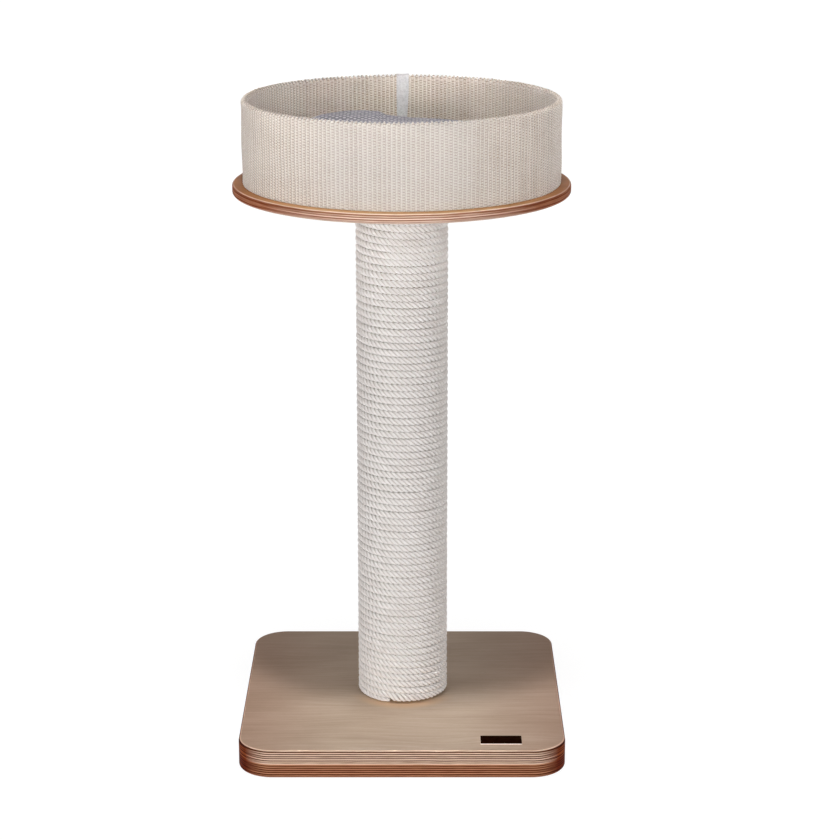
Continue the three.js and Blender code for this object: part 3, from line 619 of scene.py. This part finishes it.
def smooth_faces(piece, angle=35):
    """Shades smooth across edges flatter than an angle in degrees."""
    pick(piece)
    bpy.ops.object.shade_smooth_by_angle(angle=math.radians(angle))


def upright_at_corner(a, b):
    return abs(a.z - b.z) > 1 * MM


def level_at(height):
    """A test for edges that lie level at a height."""
    return lambda a, b: abs(a.z - height) < 0.01 * MM and abs(b.z - height) < 0.01 * MM


def base_board(name, low, high, rounded_at, material):
    """One board of the base, with rounded corners and one rounded rim."""
    start_clean()
    bpy.ops.mesh.primitive_cube_add(
        size=1, location=(0, 0, (low + high) / 2), scale=(BASE_SIDE, BASE_SIDE, high - low)
    )
    board = settle(bpy.context.object, name, material)
    bevel_edges(board, upright_at_corner, BASE_CORNER_RADIUS, 28)
    bevel_edges(board, level_at(rounded_at), BASE_EDGE_ROUND, 6)
    drill(board, BOLT_HOLE_RADIUS, low - OVERCUT, high + OVERCUT)
    return board


def base_boards():
    upper = base_board("base_upper", BASE_SEAM, BASE_TOP, BASE_TOP, "upper_board")
    smooth_faces(upper)
    finish_piece(upper, "birch_ply", "base_upper_board")

    lower = base_board("base_lower", BASE_LOW, BASE_SEAM, BASE_LOW, "lower_board")
    drill(lower, POCKET_RADIUS, BASE_LOW - OVERCUT, BASE_LOW + POCKET_DEPTH)
    smooth_faces(lower)
    finish_piece(lower, "birch_ply", "base_lower_board")


def platform():
    """The round board, rounded over at both rims."""
    start_clean()
    bpy.ops.mesh.primitive_cylinder_add(
        vertices=DISC_SEGMENTS,
        radius=DISC_RADIUS,
        depth=DISC_TOP - DISC_BOTTOM,
        location=(0, 0, (DISC_BOTTOM + DISC_TOP) / 2),
    )
    disc = settle(bpy.context.object, "platform", "disc")
    bevel_edges(disc, level_at(DISC_TOP), DISC_EDGE_ROUND, 5)
    bevel_edges(disc, level_at(DISC_BOTTOM), DISC_EDGE_ROUND, 5)
    drill(disc, BOLT_HOLE_RADIUS, DISC_BOTTOM - OVERCUT, DISC_TOP + OVERCUT)
    smooth_faces(disc)
    finish_piece(disc, "platform_ply", "platform_disc")


def label():
    """A bare leather label, dyed dark on top, its cut edges pale."""
    low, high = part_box("label_plate")
    low.x, low.y = low.x - LABEL_SPARE, low.y - 0.5 * LABEL_SPARE
    high.x, high.y = high.x + LABEL_SPARE, high.y + LABEL_SPARE
    start_clean()
    bpy.ops.mesh.primitive_cube_add(size=1, location=(low + high) / 2, scale=high - low)
    patch = settle(bpy.context.object, "label", "label_edge")
    patch.data.materials.append(MATERIALS["label_face"])
    bevel_edges(patch, upright_at_corner, 1 * MM, 5)
    bevel_edges(patch, level_at(high.z), 0.3 * MM, 3)
    for face in patch.data.polygons:
        if face.normal.z > 0.5:
            face.material_index = 1
    smooth_faces(patch)
    finish_piece(patch, "label_leather", "label_plate")


def finish_piece(piece, slot, *replaced, body=MAIN_BODY):
    """Seats a finished piece on its body, in place of CAD nodes."""
    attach(piece, body)
    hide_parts(*replaced)


# ---------------------------------------------------------------- swept meshes


def mesh_piece(name, points, faces, material, uv_name=None, uvs=None):
    """A smooth piece from arrays of points and four-cornered faces, with a UV for each corner."""
    mesh = bpy.data.meshes.new(name)
    mesh.from_pydata(points.tolist(), [], faces.tolist() if hasattr(faces, "tolist") else faces)
    if uv_name:
        layer = mesh.uv_layers.new(name=uv_name)
        layer.data.foreach_set("uv", np.asarray(uvs, np.float32).ravel())
    mesh.materials.append(MATERIALS[material])
    mesh.polygons.foreach_set("use_smooth", [True] * len(mesh.polygons))
    mesh.validate()
    return linked(name, mesh)


def grid_faces(rows, columns, closed_rows=False, closed_columns=True):
    """Corner numbers of the faces of a grid of points, closed or open each way."""
    last_row = rows if closed_rows else rows - 1
    last_column = columns if closed_columns else columns - 1
    row, column = np.meshgrid(np.arange(last_row), np.arange(last_column), indexing="ij")
    ahead = (row + 1) % rows
    beside = (column + 1) % columns
    corners = (
        row * columns + column,
        row * columns + beside,
        ahead * columns + beside,
        ahead * columns + column,
    )
    return np.stack(corners, axis=-1).reshape(-1, 4)


def face_uvs(*corners):
    """The UVs of all faces, corner by corner, from two arrays for each corner."""
    return np.stack([np.stack(corner, -1) for corner in corners], axis=1).reshape(-1, 2)


def smoothstep(value, low, high):
    """Nought below the low end, one above the high end, and a smooth rise between."""
    t = np.clip((value - low) / (high - low), 0, 1)
    return t * t * (3 - 2 * t)


def wander(place, seed, waves=4, longest=1.0):
    """A smooth wander between about -1 and 1, the same on each run."""
    random = np.random.default_rng(seed)
    total = np.zeros_like(place)
    for wave in range(waves):
        length = longest / (1.9**wave)
        total += np.sin(math.tau * (place / length + random.random())) / (1 + wave)
    return total / 1.6


def stepped_climb(turns):
    """Turns climbed at the foot: level round the post, then a step up over the turn below."""
    whole = np.floor(turns)
    part = turns - whole
    return whole - 1 + smoothstep(part, 0.75, 1.15) + smoothstep(part, -0.25, 0.15)


def rope_height(turns):
    """Height of the rope's middle after a number of turns.

    The first turn lies on the base and steps up over the cut end, the last one lies level under
    the platform, and in between the winding climbs steadily.
    """
    top = ROPE_TURNS - 1
    is_low = turns < ROPE_TURNS / 2
    from_end = np.where(is_low, turns, ROPE_TURNS - turns)
    level = np.clip(1 - from_end / ROPE_LEVEL_TURNS, 0, 1)
    steady = from_end - 0.5
    climb = steady + level * (stepped_climb(from_end) - steady)
    climb = np.clip(climb, 0, None)
    climb = np.where(is_low, climb, top - climb)
    lowest = ROPE_FOOT + ROPE_WIDTH / 2
    return lowest + (ROPE_HEAD - ROPE_FOOT - ROPE_WIDTH) * climb / top


def rope_section(turns):
    """Heights of the rope's underside and top.

    The cut end is squeezed under the second turn. Before it, the second turn hangs down and
    leaves only a thin gap over the base.
    """
    middle = rope_height(turns)
    under = middle - ROPE_WIDTH / 2
    top = middle + ROPE_WIDTH / 2
    past_start = smoothstep(turns, 0, ROPE_CUT_TAPER)
    squeezed = ROPE_FOOT + ROPE_CUT_HEIGHT + (ROPE_WIDTH - ROPE_CUT_HEIGHT) * past_start
    top = np.where(turns < 0.5, np.minimum(top, squeezed), top)
    past_cut = smoothstep(turns, 0.975, 1.0)
    hanging = ROPE_FOOT + ROPE_HANG * smoothstep(turns, 0.5, 0.85)
    resting = ROPE_FOOT + ROPE_CUT_HEIGHT - 0.6 * MM
    stepping = hanging + (resting - hanging) * past_cut
    stepping += (under - stepping) * smoothstep(turns, 1.0, 1.0 + ROPE_CUT_TAPER)
    near_step = (turns > 0.5) & (turns < 1.0 + ROPE_CUT_TAPER)
    return np.where(near_step, stepping, under), top


def rope_strand(number):
    """One of the rope's three strands, right-laid, all the way up the post."""
    radius = ROPE_OUTER_RADIUS - ROPE_DEPTH / 2
    turn_length = math.tau * radius
    length = ROPE_TURNS * turn_length
    # Strands of neighbouring turns line up, so that they draw long slanting lines on the post.
    strand_lay = 3 * turn_length / STRANDS_PER_TURN
    steps = int(length / strand_lay * STRAND_STEPS_PER_LAY)
    along = np.linspace(0, length, steps)
    turns = along / turn_length
    angle = ROPE_CUT_ANGLE - math.tau * turns
    outward = np.stack([np.cos(angle), np.sin(angle), np.zeros(steps)], axis=-1)
    upward = np.array([0.0, 0.0, 1.0])
    under, top = rope_section(turns)
    # The ends are pressed thin.
    full = 0.7 + 0.3 * smoothstep(np.minimum(along, length - along), 0, 9 * MM)
    centre = outward * radius
    centre[:, 2] = (under + top) / 2 + 0.12 * MM * wander(along, 11, longest=0.9)

    lay = along / strand_lay + number / 3 + 0.16 * wander(along, 12, waves=2, longest=4.7)
    swing = math.tau * lay
    out_part = (np.cos(swing) * (ROPE_DEPTH / 2 - STRAND_RADIUS) * full)[:, None]
    up_part = (np.sin(swing) * ((top - under) / 2 - STRAND_RADIUS) * full)[:, None]
    middle = centre + outward * out_part + upward * up_part
    aside = outward * np.cos(swing)[:, None] + upward * np.sin(swing)[:, None]
    thick = STRAND_RADIUS * full * (1 + 0.04 * wander(along, 20 + number, longest=0.11))

    # The strand leans along the rope, so its section is turned to lie square to its own run.
    run = np.gradient(middle, axis=0)
    run /= np.linalg.norm(run, axis=1)[:, None]
    across = np.cross(run, aside)
    across /= np.linalg.norm(across, axis=1)[:, None]
    proud = np.cross(across, run)
    sides = np.radians(STRAND_SIDES)
    rings = (
        middle[:, None, :]
        + proud[:, None, :] * (np.cos(sides)[None, :] * thick[:, None])[..., None]
        + across[:, None, :] * (np.sin(sides)[None, :] * thick[:, None])[..., None]
    )
    count = len(sides)
    faces = grid_faces(steps, count)
    row, column = np.divmod(np.arange(len(faces)), count)
    around = np.append(sides, sides[0] + math.tau) * STRAND_RADIUS
    low_side, high_side = around[column], around[column + 1]
    near, far = along[row], along[row + 1]
    uvs = face_uvs((near, low_side), (near, high_side), (far, high_side), (far, low_side))
    ends = [tuple(range(count))[::-1], tuple(range((steps - 1) * count, steps * count))]
    return mesh_piece(
        f"sisal_strand_{number + 1}",
        rings.reshape(-1, 3),
        faces.tolist() + ends,
        "rope",
        "along_strand",
        np.concatenate([uvs, np.zeros((2 * count, 2))]),
    )


def rope():
    strands = [rope_strand(number) for number in range(3)]
    for strand in strands:
        face_outwards(strand)
        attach(strand, MAIN_BODY)
    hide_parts("sisal_rope")


def face_outwards(piece):
    """Turns the faces so that they face out of the piece."""
    pick(piece)
    bpy.ops.object.mode_set(mode="EDIT")
    bpy.ops.mesh.select_all(action="SELECT")
    bpy.ops.mesh.normals_make_consistent(inside=False)
    bpy.ops.object.mode_set(mode="OBJECT")


# A rib of the cloth in six columns: place across the rib, and how far it stands proud of the
# gaps on the wall and on the rim.
RIB_SECTION = (
    (0.0, 0.0, 0.0),
    (0.17, 0.6, 0.3),
    (0.33, 0.12, 0.15),
    (0.47, 0.8, 0.85),
    (0.65, 1.0, 1.0),
    (0.84, 0.78, 0.8),
)
OUTER_ROW = RIB_BEAD / 2


def wall_path(low, high, radius, outward):
    """Rows up or down a wall: radius, height, and which way the cloth faces."""
    count = max(2, int(round(abs(high - low) / OUTER_ROW)) + 1)
    return [(radius, z, outward, 0.0) for z in np.linspace(low, high, count)]


def fold_path(radius, steps):
    """Rows over the rim, from outside to inside, clear of both ends."""
    angles = [math.pi * i / steps for i in range(1, steps)]
    ways = [(math.cos(angle), math.sin(angle)) for angle in angles]
    return [(FOLD_MIDDLE + radius * out, FOLD_HEIGHT + radius * up, out, up) for out, up in ways]


def ribbed_cloth(name, front, back, material):
    """A closed skin: ribbed along its front rows and plain along its back rows."""
    columns = np.arange(RIB_COUNT * len(RIB_SECTION))
    rib, part = np.divmod(columns, len(RIB_SECTION))
    section = np.array(RIB_SECTION)
    share = (rib + section[part, 0]) / RIB_COUNT
    random = np.random.default_rng(31)
    drift = RIB_DRIFT * random.standard_normal(RIB_COUNT)[rib] * np.sin(math.pi * section[part, 0])
    angle = math.tau * (share + drift / RIB_COUNT * 0.5)
    plump = 1 + RIB_PLUMPNESS * random.standard_normal(RIB_COUNT)[rib]
    rows = []
    for i, (radius, z, facing_out, facing_up) in enumerate(front):
        beat = 1 + RIB_BEAT * np.where((i + rib) % 2 == 0, 1, -1)
        rim = max(0.0, facing_up)
        proud = section[part, 1] + (section[part, 2] - section[part, 1]) * rim
        lift = (RIB_DEPTH + (RIM_DEPTH - RIB_DEPTH) * rim) * (proud * plump * beat - 1)
        sway = 0.35 * MM * np.sin(7 * angle + 9 * z / 0.1) + 0.2 * MM * np.sin(16 * angle - 31 * z)
        r = radius + facing_out * lift + sway * abs(facing_out)
        rows.append(np.stack([r * np.cos(angle), r * np.sin(angle), z + facing_up * lift], -1))
    for radius, z in back:
        flat = np.full(len(columns), z)
        rows.append(np.stack([radius * np.cos(angle), radius * np.sin(angle), flat], -1))
    points = np.concatenate(rows)
    count = len(columns)
    faces = grid_faces(len(rows), count, closed_rows=True)
    row, column = np.divmod(np.arange(len(faces)), count)
    u = np.append(share * RIB_COUNT, RIB_COUNT)
    v = np.arange(len(rows) + 1) / 2
    left, right, low, high = u[column], u[column + 1], v[row], v[row + 1]
    uvs = face_uvs((left, low), (right, low), (right, high), (left, high))
    piece = mesh_piece(name, points, faces, material, "over_cloth", uvs)
    face_outwards(piece)
    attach(piece, MAIN_BODY)
    return piece


def sisal_cloth():
    """The ribbed cloth outside, over the rim and inside, in two pieces that meet under the rim."""
    meet = FOLD_HEIGHT - OUTER_ROW
    outside = wall_path(CLOTH_FOOT, FOLD_HEIGHT, CLOTH_OUTER_RADIUS, 1.0)
    outside += fold_path(FOLD_RADIUS, RIM_STEPS)
    outside += wall_path(FOLD_HEIGHT, meet, CLOTH_INNER_RADIUS, -1.0)
    lining = (
        (HOOP_INNER_RADIUS - HOOP_GAP, meet),
        (HOOP_INNER_RADIUS - HOOP_GAP, HOOP_TOP + HOOP_GAP),
        (HOOP_OUTER_RADIUS + HOOP_GAP, HOOP_TOP + HOOP_GAP),
        (HOOP_OUTER_RADIUS + HOOP_GAP, CLOTH_FOOT),
    )
    outer = ribbed_cloth("sisal_cloth_outer", outside, lining, "cloth")
    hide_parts("sisal_cloth")

    inside = wall_path(meet, CLOTH_INNER_FOOT, CLOTH_INNER_RADIUS, -1.0)
    backing = (
        (HOOP_INNER_RADIUS - HOOP_GAP, CLOTH_INNER_FOOT),
        (HOOP_INNER_RADIUS - HOOP_GAP, meet),
    )
    ribbed_cloth("sisal_cloth_inner", inside, backing, "cloth")


def seam_tape():
    """Cotton tape over the cloth's butted ends, up one side of the wall and down the other."""
    stand_off = 0.15 * MM
    outer = CLOTH_OUTER_RADIUS + stand_off
    inner = CLOTH_INNER_RADIUS - stand_off
    path = wall_path(CLOTH_FOOT, FOLD_HEIGHT, outer, 1.0)
    path += fold_path(FOLD_RADIUS + stand_off, STRIP_RIM_STEPS)
    path += wall_path(FOLD_HEIGHT, CLOTH_INNER_FOOT, inner, -1.0)
    across = np.linspace(-STRIP_WIDTH / 2, STRIP_WIDTH / 2, STRIP_COLUMNS)
    rows = []
    for i, (radius, z, facing_out, facing_up) in enumerate(path):
        along = np.full(STRIP_COLUMNS, i * OUTER_ROW)
        edge_wave = 0.35 * MM * np.sin(along / (11 * MM)) * (across / STRIP_WIDTH)
        ripple = 0.22 * MM * np.sin(along / (6 * MM) + across / (4 * MM))
        x = across + edge_wave
        r = radius + facing_out * ripple
        # Inside, the right edge curls off the cloth lower down and draws the tape narrower.
        if facing_out < 0:
            low_down = 1 - smoothstep(z, FOLD_HEIGHT - 60 * MM, FOLD_HEIGHT - 8 * MM)
            r = r - 2.2 * MM * low_down * smoothstep(across, 3 * MM, 8 * MM)
            x = x * np.where(across > 0, 1 - 0.3 * low_down, 1 - 0.1 * low_down)
        rows.append(np.stack([x, np.sqrt(r * r - x * x), z + facing_up * ripple], -1))
    points = np.concatenate(rows)
    faces = grid_faces(len(rows), STRIP_COLUMNS, closed_columns=False)
    tape = mesh_piece("seam_tape", points, faces, "tape")
    pick(tape)
    outwards = 1.0 if faces_away_from_middle(tape) else -1.0
    apply_modifier(tape, "SOLIDIFY", thickness=STRIP_THICKNESS, offset=outwards)
    face_outwards(tape)
    finish_piece(tape, "seam_tape", "seam_strip")


def faces_away_from_middle(piece):
    """Whether the first face of the piece points away from the post."""
    face = piece.data.polygons[0]
    return face.normal.x * face.center.x + face.normal.y * face.center.y > 0


# ---------------------------------------------------------------- cushion

CUSHION_VOXEL = 5 * MM
CUSHION_PRESSURE = 4.0
CUSHION_FRAMES = 20
CUSHION_SWELL = 7 * MM
CUSHION_START = 0.985
# The stuffing has shifted at the back: places from left to right, and how far it rises there.
STUFFING_AT = np.array([-150, -112, -100, -85, -60, -45, -30, -20, -5, 10, 25, 45, 90]) * MM
STUFFING_RISE = np.array([0, 6.5, 7.5, 5.5, 3.2, 2, 0, -4.5, -5.3, -4.5, -2.8, -1, 0]) * MM
STUFFING_SPARE = 5 * MM
CUSHION_SPARE = 2.5 * MM
SEAM_HEIGHT = 15.5 * MM
SEAM_PULL = 3.2 * MM
SEAM_REACH = 3.5 * MM
PUCKER = 1.1 * MM
PUCKER_COUNT = 46


def cushion():
    """A round plush pillow: the solid is remeshed, blown up a little as cloth, and then sewn."""
    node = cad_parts["cushion"]
    low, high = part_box("cushion")
    pillow = linked("plush_cushion", node.data.copy())
    pillow.data.materials.clear()
    shrink_about(pillow, (low + high) / 2, CUSHION_START)
    pick(pillow)
    weld_and_remesh(pillow)
    inflate(pillow)
    apply_modifier(pillow, "SUBSURF", levels=1, render_levels=1)
    sew_edge(pillow, low, high)
    pillow.data.materials.append(MATERIALS["plush"])
    pillow.data.polygons.foreach_set("use_smooth", [True] * len(pillow.data.polygons))
    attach(pillow, "cushion")
    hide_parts("cushion")


def shrink_about(piece, centre, scale):
    for vertex in piece.data.vertices:
        vertex.co = centre + (vertex.co - centre) * scale


def weld_and_remesh(piece):
    bpy.ops.object.mode_set(mode="EDIT")
    bpy.ops.mesh.select_all(action="SELECT")
    bpy.ops.mesh.remove_doubles(threshold=0.01 * MM)
    bpy.ops.object.mode_set(mode="OBJECT")
    apply_modifier(piece, "REMESH", mode="VOXEL", voxel_size=CUSHION_VOXEL)


def inflate(piece):
    """Blows the cloth up for a few frames and caps how far any point moves."""
    before = point_array(piece)
    cloth = piece.modifiers.new("cloth", "CLOTH")
    cloth.settings.use_pressure = True
    cloth.settings.uniform_pressure_force = CUSHION_PRESSURE
    cloth.settings.effector_weights.gravity = 0
    cloth.settings.quality = 6
    cloth.point_cache.frame_start = 1
    cloth.point_cache.frame_end = CUSHION_FRAMES
    scene = bpy.context.scene
    for moment in range(1, CUSHION_FRAMES + 1):
        scene.frame_set(moment)
    bpy.ops.object.modifier_apply(modifier=cloth.name)
    scene.frame_set(1)
    after = point_array(piece)
    move = after - before
    distance = np.linalg.norm(move, axis=1)
    capped = np.minimum(1, CUSHION_SWELL / np.maximum(distance, 1e-9))
    piece.data.vertices.foreach_set("co", (before + move * capped[:, None]).ravel())
    piece.data.update()


def point_array(piece):
    points = np.empty(len(piece.data.vertices) * 3)
    piece.data.vertices.foreach_get("co", points)
    return points.reshape(-1, 3)


def sew_edge(piece, low, high):
    """Keeps the pillow in its space, and draws in its sewn edge with small puckers."""
    points = point_array(piece)
    out = np.hypot(points[:, 0], points[:, 1])
    angle = np.arctan2(points[:, 1], points[:, 0])
    most = high.x + CUSHION_SPARE
    seam = low.z + SEAM_HEIGHT + 1.5 * MM * np.sin(3 * angle + 0.7)
    away = points[:, 2] - seam
    near_side = smoothstep(out, most - 40 * MM, most - 6 * MM)
    groove = np.exp(-((away / SEAM_REACH) ** 2))
    folds = np.sin(PUCKER_COUNT * angle + 3 * np.sin(5 * angle)) * np.exp(-((away / (13 * MM)) ** 2))
    pull = near_side * (SEAM_PULL * groove + PUCKER * (0.5 + 0.5 * folds))
    wave = 0.9 * MM * np.sin(9 * angle + 40 * points[:, 2]) * near_side
    radius = np.minimum(out - pull + wave, most)
    scale = radius / np.maximum(out, 1e-9)
    points[:, 0] *= scale
    points[:, 1] *= scale
    dents = wander(points[:, 0], 41, longest=0.16) * wander(points[:, 1], 42, longest=0.13)
    points[:, 2] += 1.6 * MM * dents * (1 - near_side) * (points[:, 2] > low.z + 20 * MM)
    on_top = smoothstep(points[:, 2], low.z + 18 * MM, low.z + 40 * MM)
    at_back = smoothstep(points[:, 1], 30 * MM, 75 * MM)
    points[:, 2] += on_top * at_back * np.interp(points[:, 0], STUFFING_AT, STUFFING_RISE)
    points[:, 2] = np.clip(points[:, 2], low.z, high.z + STUFFING_SPARE)
    piece.data.vertices.foreach_set("co", points.ravel())
    piece.data.update()


# ---------------------------------------------------------------- CAD pieces that stay

STAYING = {
    "floor_board": ("basket_floor",),
    "cardboard": ("post_tube", "basket_hoop"),
    "beech": ("bottom_plug", "top_plug"),
}


def finish_staying_pieces():
    """Every CAD piece that shows gets its finish; what is left is steel hardware."""
    by_node = {name: finish for finish, names in STAYING.items() for name in names}
    for name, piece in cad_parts.items():
        if piece.hide_render:
            continue
        piece.data.materials.clear()
        piece.data.materials.append(MATERIALS[by_node.get(name, "steel")])


# ---------------------------------------------------------------- studio

FLOOR_SIDE = 30.0
FLOOR_SHADOW_REACH = (0.25, 0.7)
FLOOR_WHITE = 1.06
FLOOR_SHADOW = 0.1
AMBIENT = 0.185
AMBIENT_COLOUR = "FFF2E8"

CAMERA_LENS_PIXELS = 2413.1
PHOTO_PIXELS = 840
CAMERA_SENSOR = 36.0
CAMERA_PLACE = (22.1 * MM, -2886.7 * MM, 1236.6 * MM)
CAMERA_TILT = math.radians(16.27)


def seen_directly(add):
    """One for a ray that comes from the camera, a mirror or glass, else nought."""
    rays = add("LightPath").node.outputs
    seen = add("Math MAXIMUM", (rays["Is Camera Ray"], rays["Is Glossy Ray"]))
    return add("Math MAXIMUM", (seen, rays["Is Transmission Ray"]))


def studio_floor():
    """White paper that keeps a soft shadow near the object and is plain white further off."""
    start_clean()
    bpy.ops.mesh.primitive_plane_add(size=FLOOR_SIDE, location=(0, 0, -0.5 * MM))
    floor = bpy.context.object
    floor.name = "studio_floor"
    material, add = new_material("studio_floor_paper")
    place = add("TexCoord", output="Object")
    away = add("VectorMath LENGTH", (place,), output=1)
    glow_share = add("MapRange", (away, FLOOR_SHADOW_REACH[0], FLOOR_SHADOW_REACH[1], 1 - FLOOR_SHADOW))
    share = add("Math MULTIPLY", (seen_directly(add), glow_share))
    paper = add("BsdfDiffuse", {"Color": srgb("EDEDED")})
    glow = add("Emission", {"Color": (1, 1, 1, 1), "Strength": FLOOR_WHITE})
    shader = add("MixShader", (share, paper, glow))
    add("OutputMaterial", (shader,))
    floor.data.materials.append(material)


def studio_world():
    """White where it is seen, and a low even light on the object."""
    world = bpy.data.worlds.new("studio")
    bpy.context.scene.world = world
    world.use_nodes = True
    world.node_tree.nodes.clear()
    add = functools.partial(add_node, world.node_tree)
    soft = add("Background", (srgb(AMBIENT_COLOUR), AMBIENT))
    white = add("Background", ((1, 1, 1, 1), 1.0))
    shader = add("MixShader", (seen_directly(add), soft, white))
    add("OutputWorld", (shader,))


def softbox(name, place, target, size, watts, spread=180):
    """A rectangular area lamp that faces a point; a grid narrows its beam to some degrees."""
    lamp = bpy.data.lights.new(name, "AREA")
    lamp.shape = "RECTANGLE"
    lamp.size, lamp.size_y = size
    lamp.energy = watts
    lamp.spread = math.radians(spread)
    holder = linked(name, lamp)
    direction = np.array(target) - np.array(place)
    holder.location = place
    flat = math.hypot(direction[0], direction[1])
    holder.rotation_euler = (
        math.atan2(flat, -direction[2]),
        0,
        math.atan2(-direction[0], direction[1]),
    )


def studio_lamps():
    """A gridded key high in front, three gridded lamps on the basket, three broad fills."""
    softbox("key", (-0.03, -0.9, 3.75), (-0.03, -0.03, 0.05), (0.36, 0.36), 1.0, spread=19.5)
    softbox("basket_fill", (0.1, -3.1, 1.95), (0, 0.19, 1.0), (0.6, 0.3), 0.76, spread=16)
    softbox("basket_left", (-2.6, -1.7, 1.2), (-0.1, 0, 0.8), (0.4, 0.2), 0.11, spread=12)
    softbox("basket_right", (2.6, -1.7, 1.2), (0.1, 0, 0.8), (0.4, 0.2), 0.06, spread=12)
    softbox("left_fill", (-2.7, -3.2, 0.8), (0, 0, 0.45), (1.8, 1.1), 76)
    softbox("right_fill", (2.1, -3.65, 0.8), (0, 0, 0.45), (1.8, 1.1), 66)
    softbox("back_fill", (0.2, 4.2, 1.4), (0, 0, 0.4), (2.0, 2.0), 50)


def studio_camera():
    data = bpy.data.cameras.new("photo_camera")
    data.sensor_width = CAMERA_SENSOR
    data.lens = CAMERA_LENS_PIXELS / PHOTO_PIXELS * CAMERA_SENSOR
    data.clip_start = 0.05
    data.clip_end = 60
    camera = linked("photo_camera", data)
    camera.location = CAMERA_PLACE
    camera.rotation_euler = (math.pi / 2 - CAMERA_TILT, 0, 0)
    bpy.context.scene.camera = camera


# ---------------------------------------------------------------- the whole object

studio_camera()
base_boards()
platform()
label()
rope()
sisal_cloth()
seam_tape()
cushion()
finish_staying_pieces()
studio_floor()
studio_world()
studio_lamps()
bpy.context.scene.view_settings.view_transform = "Standard"
